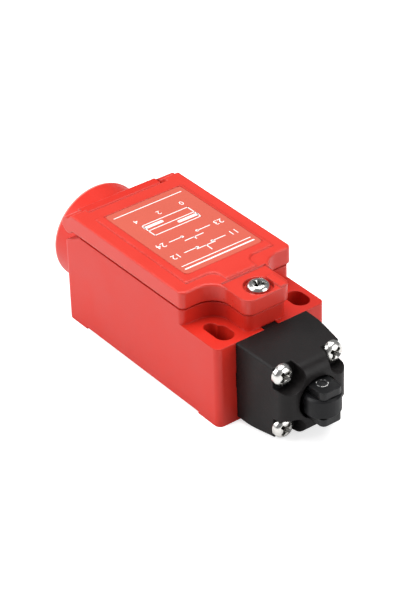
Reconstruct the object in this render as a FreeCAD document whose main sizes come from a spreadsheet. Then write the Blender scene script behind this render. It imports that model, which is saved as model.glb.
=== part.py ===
import FreeCAD, Part
import Sketcher
import math
import os

# Safety limit switch with a roller plunger, in millimetres.
# The switch lies on its mounting face at z = 0. X runs from the cable entry to the roller, Y across
# the body and Z up through the cover. The origin is on the mounting face, in the middle of the body's
# width, on the line through the two fixing holes.

document = FreeCAD.newDocument("limit_switch")

# Sizes that can be set by themselves.
size = {
    # Body: outside
    "body_length": 57.6,
    "body_width": 30.0,
    "front_reach": 5.0,
    "rim_height": 24.4,
    "ledge_drop": 3.8,
    "shoulder_setback": 12.4,
    "neck_setback": 1.3,
    "neck_width": 11.2,
    "inner_corner": 4.8,
    "neck_corner": 2.0,
    "shoulder_corner": 1.4,
    "body_corner": 1.5,
    "pad_height": 0.5,
    "front_pad": 7.5,
    "rear_pad": 7.4,
    # Body: inside
    "floor": 2.2,
    "side_wall": 2.2,
    "rear_wall": 8.7,
    "front_wall": 14.6,
    "cavity_corner": 1.5,
    # Cable entry, for an M20 gland
    "entry_drop": 10.9,
    "entry_radius": 12.3,
    "entry_length": 8.5,
    "entry_bore": 9.19,
    "entry_chamfer": 0.6,
    "entry_edge": 0.2,
    # Fixing holes, for M4 screws
    "fixing_left_edge": 5.2,
    "fixing_right_edge": 3.7,
    "fixing_radius": 2.15,
    "mouth_radius": 2.2,
    "mouth_length": 6.2,
    "fixing_seat": 4.0,
    "relief_radius": 1.6,
    "relief_reach": 4.8,
    "relief_depth": 8.0,
    # Hinge of the cover
    "hinge_back": 2.3,
    "hinge_rise": 1.7,
    "knuckle_width": 21.4,
    "knuckle_depth": 3.3,
    "knuckle_rise": 3.4,
    "knuckle_round": 0.8,
    "ear_radius": 2.05,
    "ear_room_drop": 3.5,
    "ear_room_length": 6.5,
    "ear_side_gap": 0.25,
    "pivot_radius": 0.95,
    "pivot_play": 0.05,
    "pivot_length": 2.6,
    # Cover
    "gasket_thickness": 0.8,
    "gasket_width": 2.0,
    "gasket_inset": 0.8,
    "cover_height": 4.2,
    "cover_overhang": 0.27,
    "cover_front_gap": 0.6,
    "cover_rear_gap": 2.0,
    "cover_wall": 2.0,
    "cover_roof": 1.8,
    "ear_slope": 4.1,
    "top_edge": 0.45,
    "plateau_height": 0.4,
    "plateau_side": 12.1,
    "plateau_rear": 3.9,
    "plateau_stub": 4.2,
    "plateau_stub_width": 8.6,
    "plateau_blend": 2.4,
    "plateau_edge_share": 0.7,
    "label_length": 31.0,
    "label_width": 21.5,
    "label_setback": 0.6,
    "label_shift": 0.55,
    "label_depth": 0.15,
    "tongue_drop": 0.4,
    "tongue_start": 2.0,
    "tongue_corner": 2.4,
    "bar_start": 5.4,
    "bar_inner": 3.1,
    "bar_width": 2.1,
    # Cover screw, M3 pan head, held in the cover
    "cover_screw_x": 0.6,
    "cover_screw_radius": 1.5,
    "cover_screw_play": 0.2,
    "cover_screw_length": 6.4,
    "cover_screw_head": 2.7,
    "cover_screw_head_height": 1.9,
    "cover_screw_seat": 1.0,
    "cover_screw_recess": 3.4,
    "cover_screw_hole": 8.0,
    "keeper_radius": 2.6,
    "keeper_thickness": 0.7,
    # Head
    "head_length": 15.9,
    "head_width": 19.8,
    "head_front_width": 17.2,
    "head_straight": 4.5,
    "head_front_round": 3.2,
    "head_edge": 0.5,
    "head_waist_round": 40.0,
    "head_screw_offset": 6.9,
    "head_screw_radius": 1.25,
    "head_screw_play": 0.15,
    "head_screw_head": 2.55,
    "head_screw_head_height": 1.9,
    "head_screw_bite": 2.6,
    "pocket_radius": 3.6,
    "pocket_depth": 4.3,
    "recess_width": 0.9,
    "recess_depth": 0.9,
    "recess_share": 0.62,
    "screw_edge": 0.8,
    "key_width": 3.8,
    "key_thickness": 1.1,
    "key_length": 1.4,
    "key_play": 0.1,
    "head_gasket_inner": 6.5,
    "head_gasket_width": 1.0,
    "head_gasket_thickness": 0.7,
    # Plunger, roller and return spring
    "travel": 4.0,
    "bore_radius": 5.2,
    "plunger_play": 0.05,
    "flange_radius": 5.9,
    "flange_play": 0.15,
    "flange_length": 1.3,
    "stop_depth": 7.0,
    "spring_well_radius": 4.3,
    "spring_well_depth": 4.9,
    "roller_x": 22.2,
    "roller_radius": 4.3,
    "roller_width": 4.9,
    "roller_side_play": 0.1,
    "roller_rear_play": 0.25,
    "roller_chamfer": 0.45,
    "axle_radius": 1.4,
    "axle_play": 0.05,
    "axle_dimple": 0.9,
    "axle_dimple_depth": 0.25,
    "arm_thickness": 1.75,
    "arm_width": 5.6,
    "arm_tip": 3.6,
    "arm_tip_round": 1.2,
    "seal_depth": 1.8,
    "seal_setback": 5.6,
    "seal_wall": 1.0,
    "plate_thickness": 1.2,
    "rod_radius": 1.9,
    "rod_play": 0.2,
    "rod_tunnel": 3.0,
    "rod_seat": 2.0,
    "spring_radius": 3.3,
    "spring_wire": 0.32,
    "spring_turns": 6.0,
    # Contact block; a share along is of the block's length, a share across is of half its width
    "block_front_gap": 0.8,
    "block_rear_gap": 4.6,
    "block_side_gap": 2.3,
    "block_rise": 4.3,
    "slider_width": 5.0,
    "slider_height": 5.4,
    "slider_play": 0.1,
    "slider_nose": 2.4,
    "slider_share": 0.63,
    "rod_socket": 2.6,
    "bridge_thickness": 0.8,
    "bridge_height": 3.0,
    "bridge_side_share": 0.76,
    "button_radius": 1.2,
    "button_thickness": 0.5,
    "contact_side_share": 0.63,
    "break_share": 0.3,
    "make_share": 0.53,
    "contact_margin": 0.1,
    "contact_spring_radius": 1.3,
    "contact_spring_wire": 0.16,
    "break_spring_share": 0.095,
    "break_spring_turns": 3.0,
    "make_spring_share": 0.07,
    "make_spring_turns": 2.5,
    "strip_thickness": 0.8,
    "strip_side_share": 0.2,
    "strip_share": 0.22,
    "strip_toe": 1.3,
    "chamber_side_share": 0.84,
    "chamber_gap": 1.0,
    "chamber_play": 0.5,
    "terminal_share": 0.125,
    "terminal_radius": 1.5,
    "terminal_head_share": 0.245,
    "terminal_head_height": 1.9,
    "terminal_length": 5.2,
    "terminal_well": 1.8,
    "clamp_side_share": 0.255,
    "clamp_thickness": 1.0,
    "lid_side_share": 0.31,
    "lid_thickness": 1.6,
    "lid_gap": 0.4,
    "lid_lip": 1.0,
    "block_screw_radius": 1.25,
    "block_screw_head": 2.3,
    "block_screw_head_height": 1.6,
    "block_screw_share": 0.1,
    "block_screw_sink": 2.0,
    "block_screw_bite": 1.6,
}

sheet = document.addObject("Spreadsheet::Sheet", "sizes")
for row, (name, value) in enumerate(size.items(), start=1):
    sheet.set("A%d" % row, name)
    sheet.set("B%d" % row, str(value))
    sheet.setAlias("B%d" % row, name)
document.recompute()

# Places that several pieces share, written once from the sizes above.
FRONT = "sizes.front_reach"
REAR = "(sizes.front_reach - sizes.body_length)"
HALF = "(sizes.body_width / 2)"
RIM = "sizes.rim_height"
LEDGE = "(sizes.rim_height - sizes.ledge_drop)"
CAVITY_FRONT = "(sizes.front_reach - sizes.front_wall)"
CAVITY_REAR = "(sizes.front_reach - sizes.body_length + sizes.rear_wall)"
CAVITY_SIDE = "(sizes.body_width / 2 - sizes.side_wall)"
SHOULDER = "(sizes.front_reach - sizes.shoulder_setback)"
NECK_FRONT = "(sizes.front_reach - sizes.neck_setback)"
NECK_SIDE = "(sizes.neck_width / 2)"
HINGE_X = "(sizes.front_reach - sizes.body_length + sizes.hinge_back)"
HINGE_Z = "(sizes.rim_height + sizes.hinge_rise)"
AXIS = "(sizes.rim_height - sizes.ledge_drop - sizes.head_width / 2)"
COVER_BASE = "(sizes.rim_height + sizes.gasket_thickness)"
COVER_TOP = "(sizes.rim_height + sizes.gasket_thickness + sizes.cover_height)"
COVER_SIDE = "(sizes.body_width / 2 + sizes.cover_overhang)"
COVER_REAR = ("(sizes.front_reach - sizes.body_length + sizes.knuckle_depth"
              " + sizes.cover_rear_gap)")
COVER_SHOULDER = "(sizes.front_reach - sizes.shoulder_setback + sizes.cover_front_gap)"
COVER_NECK = "(sizes.front_reach - sizes.neck_setback + sizes.cover_front_gap + sizes.cover_overhang)"
COVER_NECK_SIDE = "(sizes.neck_width / 2 + sizes.cover_overhang + sizes.cover_overhang)"
EAR_INNER = "(sizes.knuckle_width / 2 + sizes.ear_side_gap)"
HEAD_FRONT = "(sizes.front_reach + sizes.head_length)"
POCKET_FLOOR = "(sizes.front_reach + sizes.head_length - sizes.pocket_depth)"
STOP = "(sizes.front_reach + sizes.stop_depth)"
BLOCK_FRONT = "(sizes.front_reach - sizes.front_wall - sizes.block_front_gap)"
BLOCK_REAR = ("(sizes.front_reach - sizes.body_length + sizes.rear_wall"
              " + sizes.block_rear_gap)")
BLOCK_LONG = "(" + BLOCK_FRONT + " - " + BLOCK_REAR + ")"
BLOCK_HALF = "(sizes.body_width / 2 - sizes.side_wall - sizes.block_side_gap)"
BLOCK_SCREW_X = "(" + BLOCK_REAR + " + sizes.block_screw_share * " + BLOCK_LONG + ")"
BLOCK_TOP = "(" + AXIS + " + sizes.block_rise)"
BLOCK_HIGH = "(" + BLOCK_TOP + " - sizes.floor)"
SLIDER_FRONT = "(sizes.front_reach - sizes.front_wall - sizes.slider_nose)"
SLIDER_REAR = "(" + BLOCK_FRONT + " - sizes.slider_share * " + BLOCK_LONG + ")"
BREAK_FACE = "(" + BLOCK_FRONT + " - sizes.break_share * " + BLOCK_LONG + ")"
MAKE_FACE = "(" + BLOCK_FRONT + " - sizes.make_share * " + BLOCK_LONG + ")"
BREAK_STRIP = "(" + BREAK_FACE + " + 2 * sizes.button_thickness)"
MAKE_STRIP = ("(" + MAKE_FACE + " - sizes.bridge_thickness - 2 * sizes.button_thickness"
              " - sizes.travel - sizes.contact_margin)")
BREAK_SPRING = "(sizes.break_spring_share * " + BLOCK_LONG + ")"
MAKE_SPRING = "(sizes.make_spring_share * " + BLOCK_LONG + ")"
STRIP_LONG = "(sizes.strip_share * " + BLOCK_LONG + ")"
TERMINAL_FRONT = "(" + BREAK_STRIP + " + sizes.terminal_share * " + BLOCK_LONG + ")"
TERMINAL_REAR = "(" + MAKE_STRIP + " - sizes.terminal_share * " + BLOCK_LONG + ")"
CONTACT_SIDE = "(sizes.contact_side_share * " + BLOCK_HALF + ")"
CLAMP_SIDE = "(sizes.clamp_side_share * " + BLOCK_HALF + ")"
FIXING_LEFT = "(sizes.body_width / 2 - sizes.fixing_left_edge)"
FIXING_RIGHT = "(sizes.body_width / 2 - sizes.fixing_right_edge)"

front = size["front_reach"]
rear = front - size["body_length"]
half = size["body_width"] / 2
shoulder = front - size["shoulder_setback"]
neck_front = front - size["neck_setback"]
neck_side = size["neck_width"] / 2
ledge = size["rim_height"] - size["ledge_drop"]
axis_height = ledge - size["head_width"] / 2


def new_body(name, many=False):
    """A body for one named sub-part; many allows separate solids in it."""
    body = document.addObject("PartDesign::Body", name)
    body.Label = name
    body.AllowCompound = many
    return body


def new_sketch(body, plane, name, height=None):
    """A sketch on one of the body's own base planes, moved along the plane's normal."""
    drawing = body.newObject("Sketcher::SketchObject", name)
    base = [item for item in body.Origin.OriginFeatures if item.Role == plane][0]
    drawing.AttachmentSupport = [(base, "")]
    drawing.MapMode = "FlatFace"
    if height:
        drawing.setExpression("AttachmentOffset.Base.z", height)
    return drawing


def tie(drawing, kind, item, point, text):
    """Ties one distance of a point from the sketch's origin to an expression."""
    number = drawing.addConstraint(Sketcher.Constraint(kind, -1, 1, item, point, 1.0))
    label = "%s_%d" % (kind, number)
    drawing.renameConstraint(number, label)
    drawing.setExpression("Constraints." + label, text)


def fix_point(drawing, item, point, across, up):
    """Ties a point of the sketch to the sketch's origin by two expressions."""
    tie(drawing, "DistanceX", item, point, across)
    tie(drawing, "DistanceY", item, point, up)


def fix_radius(drawing, item, text):
    """Ties the radius of a circle or an arc to an expression."""
    number = drawing.addConstraint(Sketcher.Constraint("Radius", item, 1.0))
    label = "Radius_%d" % number
    drawing.renameConstraint(number, label)
    drawing.setExpression("Constraints." + label, text)


# A new outline starts as a ring of this radius, before its constraints move the corners.
START_RING = 20.0


def add_outline(drawing, corners):
    """A closed outline of straight lines through the given corners."""
    first = drawing.GeometryCount
    count = len(corners)
    rough = []
    for step in range(count):
        angle = 2 * math.pi * step / count
        rough.append(FreeCAD.Vector(START_RING * math.cos(angle), START_RING * math.sin(angle), 0))
    for step in range(count):
        drawing.addGeometry(Part.LineSegment(rough[step], rough[(step + 1) % count]), False)
    for step in range(count):
        follower = first + (step + 1) % count
        drawing.addConstraint(Sketcher.Constraint("Coincident", first + step, 2, follower, 1))
    for step, (across, up) in enumerate(corners):
        fix_point(drawing, first + step, 1, across, up)


def add_rectangle(drawing, left, right, low, high):
    """A rectangle between two places across and two places up."""
    add_outline(drawing, [(left, low), (right, low), (right, high), (left, high)])


def add_circle(drawing, across, up, radius):
    """A circle with its centre and radius tied to expressions."""
    item = drawing.addGeometry(Part.Circle(FreeCAD.Vector(1, 1, 0), FreeCAD.Vector(0, 0, 1), 1), False)
    fix_point(drawing, item, 3, across, up)
    fix_radius(drawing, item, radius)


def add_pad(body, drawing, name, length, back=False):
    """Material from a sketch along its normal, or against it."""
    feature = body.newObject("PartDesign::Pad", name)
    feature.Profile = drawing
    feature.setExpression("Length", length)
    feature.Reversed = back
    drawing.Visibility = False
    return feature


def add_pocket(body, drawing, name, length, forward=False):
    """A cut from a sketch against its normal, or along it."""
    feature = body.newObject("PartDesign::Pocket", name)
    feature.Profile = drawing
    feature.setExpression("Length", length)
    feature.Reversed = forward
    drawing.Visibility = False
    return feature


def cut_slots(body, name, top, depth, left, right, places, radius):
    """Slots from a flat top down; left and right are the x centres of their round ends."""
    for end, centre in (("left", left), ("right", right)):
        drawing = new_sketch(body, "XY_Plane", "%s_%s_outline" % (name, end), top)
        for place in places:
            add_circle(drawing, centre, place, radius)
        add_pocket(body, drawing, "%s_%s" % (name, end), depth)
    drawing = new_sketch(body, "XY_Plane", "%s_middle_outline" % name, top)
    for place in places:
        add_rectangle(drawing, left, right, place + " - " + radius, place + " + " + radius)
    add_pocket(body, drawing, "%s_middle" % name, depth)


def along(edge, direction):
    """True when a straight edge runs along a direction."""
    if edge.Curve.TypeId != "Part::GeomLine":
        return False
    return abs(abs(edge.Curve.Direction.dot(direction)) - 1) < 1e-4


def round_edges(body, kind, name, amount, test):
    """A fillet or a chamfer on the edges of the body's tip that pass a test."""
    document.recompute()
    tip = body.Tip
    names = []
    for number, edge in enumerate(tip.Shape.Edges, start=1):
        if test(edge):
            names.append("Edge%d" % number)
    feature = body.newObject("PartDesign::" + kind, name)
    feature.Base = (tip, names)
    feature.setExpression("Radius" if kind == "Fillet" else "Size", amount)
    document.recompute()
    return feature


UP = FreeCAD.Vector(0, 0, 1)
ACROSS = FreeCAD.Vector(0, 1, 0)
NEAR = 0.02


def upright_at(places):
    """A test for upright edges at the given x and y places."""
    def test(edge):
        if not along(edge, UP):
            return False
        middle = edge.CenterOfMass
        return any(abs(middle.x - x) < NEAR and abs(abs(middle.y) - y) < NEAR for x, y in places)
    return test


# Housing: the moulded body with the cavity for the contact block, the threaded cable entry, the
# shoulders and neck under the cover, the hinge knuckle and the face that carries the head.
housing = new_body("housing")

drawing = new_sketch(housing, "XY_Plane", "block_outline")
add_rectangle(drawing, REAR, FRONT, "-" + HALF, HALF)
add_pad(housing, drawing, "block", LEDGE)

drawing = new_sketch(housing, "XY_Plane", "deck_outline", LEDGE)
add_outline(drawing, [
    (REAR, "-" + HALF), (SHOULDER, "-" + HALF), (SHOULDER, "-" + NECK_SIDE),
    (NECK_FRONT, "-" + NECK_SIDE), (NECK_FRONT, NECK_SIDE), (SHOULDER, NECK_SIDE),
    (SHOULDER, HALF), (REAR, HALF)])
add_pad(housing, drawing, "deck", "sizes.ledge_drop")

round_edges(housing, "Fillet", "inner_corners", "sizes.inner_corner",
            upright_at([(shoulder, neck_side)]))
round_edges(housing, "Fillet", "neck_corners", "sizes.neck_corner",
            upright_at([(neck_front, neck_side)]))
round_edges(housing, "Fillet", "shoulder_corners", "sizes.shoulder_corner",
            upright_at([(shoulder, half)]))
round_edges(housing, "Fillet", "body_corners", "sizes.body_corner",
            upright_at([(front, half), (rear, half)]))

drawing = new_sketch(housing, "XY_Plane", "cavity_outline", RIM)
add_rectangle(drawing, CAVITY_REAR, CAVITY_FRONT, "-" + CAVITY_SIDE, CAVITY_SIDE)
add_pocket(housing, drawing, "cavity", "sizes.rim_height - sizes.floor")
cavity_places = [(front - size["front_wall"], half - size["side_wall"]),
                 (rear + size["rear_wall"], half - size["side_wall"])]
round_edges(housing, "Fillet", "cavity_corners", "sizes.cavity_corner", upright_at(cavity_places))

drawing = new_sketch(housing, "YZ_Plane", "entry_outline", REAR)
add_circle(drawing, "0", RIM + " - sizes.entry_drop", "sizes.entry_radius")
add_pad(housing, drawing, "entry", "sizes.entry_length", back=True)

drawing = new_sketch(housing, "XZ_Plane", "knuckle_outline", "-sizes.knuckle_width / 2")
add_rectangle(drawing, REAR, REAR + " + sizes.knuckle_depth", LEDGE, RIM + " + sizes.knuckle_rise")
add_pad(housing, drawing, "knuckle", "sizes.knuckle_width")


def knuckle_top(edge):
    """The two long top edges of the knuckle."""
    level = size["rim_height"] + size["knuckle_rise"]
    return along(edge, ACROSS) and abs(edge.CenterOfMass.z - level) < NEAR


round_edges(housing, "Fillet", "knuckle_round", "sizes.knuckle_round", knuckle_top)

drawing = new_sketch(housing, "YZ_Plane", "entry_bore_outline", REAR + " - sizes.entry_length")
add_circle(drawing, "0", RIM + " - sizes.entry_drop", "sizes.entry_bore")
add_pocket(housing, drawing, "entry_bore", "sizes.entry_length + sizes.rear_wall", forward=True)


def entry_rim(radius):
    """A test for one round edge at the mouth of the cable entry."""
    def test(edge):
        box = edge.BoundBox
        mouth = rear - size["entry_length"]
        if abs(box.XMin - mouth) > NEAR or abs(box.XMax - mouth) > NEAR:
            return False
        return abs(box.YLength / 2 - radius) < NEAR
    return test


round_edges(housing, "Chamfer", "entry_chamfer", "sizes.entry_chamfer", entry_rim(size["entry_bore"]))
round_edges(housing, "Chamfer", "entry_edge", "sizes.entry_edge", entry_rim(size["entry_radius"]))

for side, start in (("right", "sizes.knuckle_width / 2"), ("left", "-" + HALF)):
    drawing = new_sketch(housing, "XZ_Plane", side + "_ear_room_outline", start)
    add_outline(drawing, [
        (REAR, RIM + " - sizes.ear_room_drop"), (REAR + " + sizes.ear_room_length", RIM), (REAR, RIM)])
    add_pocket(housing, drawing, side + "_ear_room", "(sizes.body_width - sizes.knuckle_width) / 2",
               forward=True)

drawing = new_sketch(housing, "XZ_Plane", "pivot_outline", "-(sizes.knuckle_width / 2 + sizes.pivot_length)")
add_circle(drawing, HINGE_X, HINGE_Z, "sizes.pivot_radius")
add_pad(housing, drawing, "pivots", "sizes.knuckle_width + 2 * sizes.pivot_length")

MOUTH_HALF = "(sizes.mouth_length / 2 - sizes.mouth_radius)"
cut_slots(housing, "mouths", LEDGE, LEDGE + " - sizes.fixing_seat",
          "-" + MOUTH_HALF, MOUTH_HALF, ["-" + FIXING_LEFT, FIXING_RIGHT], "sizes.mouth_radius")

drawing = new_sketch(housing, "XY_Plane", "fixing_hole_outline", "sizes.fixing_seat")
add_circle(drawing, "0", "-" + FIXING_LEFT, "sizes.fixing_radius")
add_circle(drawing, "0", FIXING_RIGHT, "sizes.fixing_radius")
add_pocket(housing, drawing, "fixing_holes", "sizes.fixing_seat")

cut_slots(housing, "relief", LEDGE, "sizes.relief_depth",
          "-sizes.relief_reach + sizes.relief_radius", "0",
          ["-(" + FIXING_LEFT + " + sizes.mouth_radius - sizes.relief_radius)"], "sizes.relief_radius")

drawing = new_sketch(housing, "YZ_Plane", "tunnel_outline", FRONT)
add_circle(drawing, "0", AXIS, "sizes.rod_tunnel")
add_pocket(housing, drawing, "tunnel", "sizes.front_wall")

drawing = new_sketch(housing, "YZ_Plane", "pilot_outline", FRONT)
for across in ("-", ""):
    for up in (" - ", " + "):
        add_circle(drawing, across + "sizes.head_screw_offset", AXIS + up + "sizes.head_screw_offset",
                   "sizes.head_screw_radius")
add_pocket(housing, drawing, "pilots", "sizes.head_screw_bite")

KEY_SIDE = "(sizes.key_width / 2 + sizes.key_play)"
KEY_OUT = "(sizes.head_width / 2 + sizes.key_play)"
KEY_IN = "(sizes.head_width / 2 - sizes.key_thickness - sizes.key_play)"
drawing = new_sketch(housing, "YZ_Plane", "keyway_outline", FRONT)
add_rectangle(drawing, "-" + KEY_SIDE, KEY_SIDE, AXIS + " + " + KEY_IN, LEDGE + " + sizes.key_play")
add_rectangle(drawing, "-" + KEY_SIDE, KEY_SIDE, AXIS + " - " + KEY_OUT, AXIS + " - " + KEY_IN)
add_rectangle(drawing, "-" + KEY_OUT, "-" + KEY_IN, AXIS + " - " + KEY_SIDE, AXIS + " + " + KEY_SIDE)
add_rectangle(drawing, KEY_IN, KEY_OUT, AXIS + " - " + KEY_SIDE, AXIS + " + " + KEY_SIDE)
add_pocket(housing, drawing, "keyways", "sizes.key_length + sizes.key_play")

drawing = new_sketch(housing, "XY_Plane", "cover_screw_hole_outline", RIM)
add_circle(drawing, "sizes.cover_screw_x", "0", "sizes.cover_screw_radius + sizes.cover_screw_play")
add_pocket(housing, drawing, "cover_screw_hole", "sizes.cover_screw_hole")

drawing = new_sketch(housing, "XY_Plane", "block_screw_hole_outline", "sizes.floor")
add_circle(drawing, BLOCK_SCREW_X, "0", "sizes.block_screw_radius")
add_pocket(housing, drawing, "block_screw_hole", "sizes.block_screw_bite")

drawing = new_sketch(housing, "XY_Plane", "base_relief_outline")
add_rectangle(drawing, REAR + " + sizes.rear_pad", FRONT + " - sizes.front_pad", "-" + HALF, HALF)
add_pocket(housing, drawing, "base_relief", "sizes.pad_height", forward=True)

# Gasket: a flat ring on the rim that the cover presses down on.
GASKET_SIDE = "(sizes.body_width / 2 - sizes.gasket_inset)"
GASKET_REAR = "(sizes.front_reach - sizes.body_length + sizes.rear_wall - sizes.gasket_width)"
gasket = new_body("cover_gasket")
drawing = new_sketch(gasket, "XY_Plane", "gasket_outline", RIM)
add_outline(drawing, [
    (GASKET_REAR, "-" + GASKET_SIDE),
    (SHOULDER + " - sizes.gasket_inset", "-" + GASKET_SIDE),
    (SHOULDER + " - sizes.gasket_inset", "-(" + NECK_SIDE + " - sizes.gasket_inset)"),
    (NECK_FRONT + " - sizes.gasket_inset", "-(" + NECK_SIDE + " - sizes.gasket_inset)"),
    (NECK_FRONT + " - sizes.gasket_inset", NECK_SIDE + " - sizes.gasket_inset"),
    (SHOULDER + " - sizes.gasket_inset", NECK_SIDE + " - sizes.gasket_inset"),
    (SHOULDER + " - sizes.gasket_inset", GASKET_SIDE),
    (GASKET_REAR, GASKET_SIDE)])
add_rectangle(drawing, CAVITY_REAR, CAVITY_FRONT, "-" + CAVITY_SIDE, CAVITY_SIDE)
add_circle(drawing, "sizes.cover_screw_x", "0", "sizes.cover_screw_radius + sizes.cover_screw_play")
add_pad(gasket, drawing, "gasket_ring", "sizes.gasket_thickness")
inset = size["gasket_inset"]
round_edges(gasket, "Fillet", "gasket_bends", "sizes.inner_corner",
            upright_at([(shoulder - inset, neck_side - inset)]))
round_edges(gasket, "Fillet", "gasket_corners", "sizes.neck_corner - sizes.gasket_inset",
            upright_at([(neck_front - inset, neck_side - inset)]))

# Cover: a hollow lid with a tongue over the neck, a raised field with a place for the label, and two
# rear ears that turn on the pivots of the housing.
cover = new_body("cover")
cover_top = size["rim_height"] + size["gasket_thickness"] + size["cover_height"]
cover_side = half + size["cover_overhang"]
cover_shoulder = shoulder + size["cover_front_gap"]
cover_neck = neck_front + size["cover_front_gap"] + size["cover_overhang"]
cover_neck_side = neck_side + 2 * size["cover_overhang"]

drawing = new_sketch(cover, "XY_Plane", "cover_outline", COVER_BASE)
add_outline(drawing, [
    (REAR, "-" + COVER_SIDE), (COVER_SHOULDER, "-" + COVER_SIDE),
    (COVER_SHOULDER, "-" + COVER_NECK_SIDE), (COVER_NECK, "-" + COVER_NECK_SIDE),
    (COVER_NECK, COVER_NECK_SIDE), (COVER_SHOULDER, COVER_NECK_SIDE),
    (COVER_SHOULDER, COVER_SIDE), (REAR, COVER_SIDE), (REAR, EAR_INNER),
    (COVER_REAR, EAR_INNER), (COVER_REAR, "-" + EAR_INNER), (REAR, "-" + EAR_INNER)])
add_pad(cover, drawing, "cover_block", "sizes.cover_height")

drawing = new_sketch(cover, "XZ_Plane", "ear_slope_outline", "-" + COVER_SIDE)
add_outline(drawing, [
    (REAR, COVER_TOP + " - sizes.ear_slope"), (REAR + " + sizes.ear_slope", COVER_TOP), (REAR, COVER_TOP)])
add_pocket(cover, drawing, "ear_slope", "2 * " + COVER_SIDE, forward=True)

round_edges(cover, "Fillet", "cover_inner_corners", "sizes.inner_corner",
            upright_at([(cover_shoulder, cover_neck_side)]))
round_edges(cover, "Fillet", "cover_neck_corners", "sizes.tongue_corner",
            upright_at([(cover_neck, cover_neck_side)]))
round_edges(cover, "Fillet", "cover_shoulder_corners", "sizes.shoulder_corner",
            upright_at([(cover_shoulder, cover_side)]))


def cover_top_edges(edge):
    """The outer edges of the cover's top face."""
    box = edge.BoundBox
    return abs(box.ZMin - cover_top) < NEAR and abs(box.ZMax - cover_top) < NEAR


round_edges(cover, "Fillet", "cover_top_round", "sizes.top_edge", cover_top_edges)

for side, start in (("right", "-" + COVER_SIDE), ("left", EAR_INNER)):
    drawing = new_sketch(cover, "XZ_Plane", side + "_ear_outline", start)
    add_circle(drawing, HINGE_X, HINGE_Z, "sizes.ear_radius")
    add_pad(cover, drawing, side + "_ear", COVER_SIDE + " - " + EAR_INNER)

PIVOT_HOLE = "(sizes.pivot_length - sizes.ear_side_gap + sizes.pivot_play)"
for side, start in (("right", "-" + EAR_INNER), ("left", EAR_INNER + " + " + PIVOT_HOLE)):
    drawing = new_sketch(cover, "XZ_Plane", side + "_pivot_hole_outline", start)
    add_circle(drawing, HINGE_X, HINGE_Z, "sizes.pivot_radius + sizes.pivot_play")
    add_pocket(cover, drawing, side + "_pivot_hole", PIVOT_HOLE)

drawing = new_sketch(cover, "XY_Plane", "cover_hollow_outline", COVER_BASE)
add_rectangle(drawing, COVER_REAR + " + sizes.cover_wall + sizes.cover_overhang",
              COVER_SHOULDER + " - sizes.cover_wall",
              "-(" + COVER_SIDE + " - sizes.cover_wall)", COVER_SIDE + " - sizes.cover_wall")
add_pocket(cover, drawing, "cover_hollow", "sizes.cover_height - sizes.cover_roof", forward=True)

PLATEAU_REAR = "(" + COVER_REAR + " + sizes.plateau_rear)"
drawing = new_sketch(cover, "XY_Plane", "tongue_step_outline", COVER_TOP)
add_rectangle(drawing, COVER_SHOULDER + " + sizes.tongue_start", COVER_NECK,
              "-" + COVER_NECK_SIDE, COVER_NECK_SIDE)
add_pocket(cover, drawing, "tongue_step", "sizes.tongue_drop")

drawing = new_sketch(cover, "XY_Plane", "plateau_outline", COVER_TOP)
PLATEAU_SHOULDER = "(" + COVER_SHOULDER + " - sizes.cover_wall - sizes.cover_front_gap)"
PLATEAU_STUB = "(" + COVER_SHOULDER + " - sizes.cover_wall - sizes.cover_front_gap + sizes.plateau_stub)"
STUB_SIDE = "(sizes.plateau_stub_width / 2)"
add_outline(drawing, [
    (PLATEAU_REAR, "-sizes.plateau_side"), (PLATEAU_SHOULDER, "-sizes.plateau_side"),
    (PLATEAU_SHOULDER, "-" + STUB_SIDE), (PLATEAU_STUB, "-" + STUB_SIDE),
    (PLATEAU_STUB, STUB_SIDE), (PLATEAU_SHOULDER, STUB_SIDE),
    (PLATEAU_SHOULDER, "sizes.plateau_side"), (PLATEAU_REAR, "sizes.plateau_side")])
add_pad(cover, drawing, "plateau", "sizes.plateau_height")

plateau_shoulder = cover_shoulder - size["cover_wall"] - size["cover_front_gap"]
stub_side = size["plateau_stub_width"] / 2
round_edges(cover, "Fillet", "plateau_bends", "sizes.plateau_blend",
            upright_at([(plateau_shoulder, stub_side)]))


def plateau_edges(edge):
    """The edges of the raised field's top face."""
    box = edge.BoundBox
    level = cover_top + size["plateau_height"]
    return abs(box.ZMin - level) < NEAR and abs(box.ZMax - level) < NEAR


round_edges(cover, "Chamfer", "plateau_edge", "sizes.plateau_height * sizes.plateau_edge_share",
            plateau_edges)

PLATEAU_TOP = "(" + COVER_TOP + " + sizes.plateau_height)"
LABEL_REAR = "(" + PLATEAU_REAR + " + sizes.label_setback)"
drawing = new_sketch(cover, "XY_Plane", "label_outline", PLATEAU_TOP)
add_rectangle(drawing, LABEL_REAR, LABEL_REAR + " + sizes.label_length",
              "sizes.label_shift - sizes.label_width / 2", "sizes.label_shift + sizes.label_width / 2")
add_pocket(cover, drawing, "label_place", "sizes.label_depth")

drawing = new_sketch(cover, "XY_Plane", "bar_outline", COVER_TOP + " - sizes.tongue_drop")
add_rectangle(drawing, COVER_NECK + " - sizes.bar_start", COVER_NECK + " - sizes.top_edge / 2",
              "sizes.bar_inner", "sizes.bar_inner + sizes.bar_width")
add_pad(cover, drawing, "tongue_bar", "sizes.tongue_drop")

TONGUE_TOP = "(" + COVER_TOP + " - sizes.tongue_drop)"
drawing = new_sketch(cover, "XY_Plane", "screw_recess_outline", TONGUE_TOP)
add_circle(drawing, "sizes.cover_screw_x", "0", "sizes.cover_screw_recess")
add_pocket(cover, drawing, "screw_recess", "sizes.cover_screw_seat")

drawing = new_sketch(cover, "XY_Plane", "screw_way_outline", TONGUE_TOP)
add_circle(drawing, "sizes.cover_screw_x", "0", "sizes.cover_screw_radius + sizes.cover_screw_play / 2")
add_pocket(cover, drawing, "screw_way", "sizes.cover_height - sizes.tongue_drop")

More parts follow.
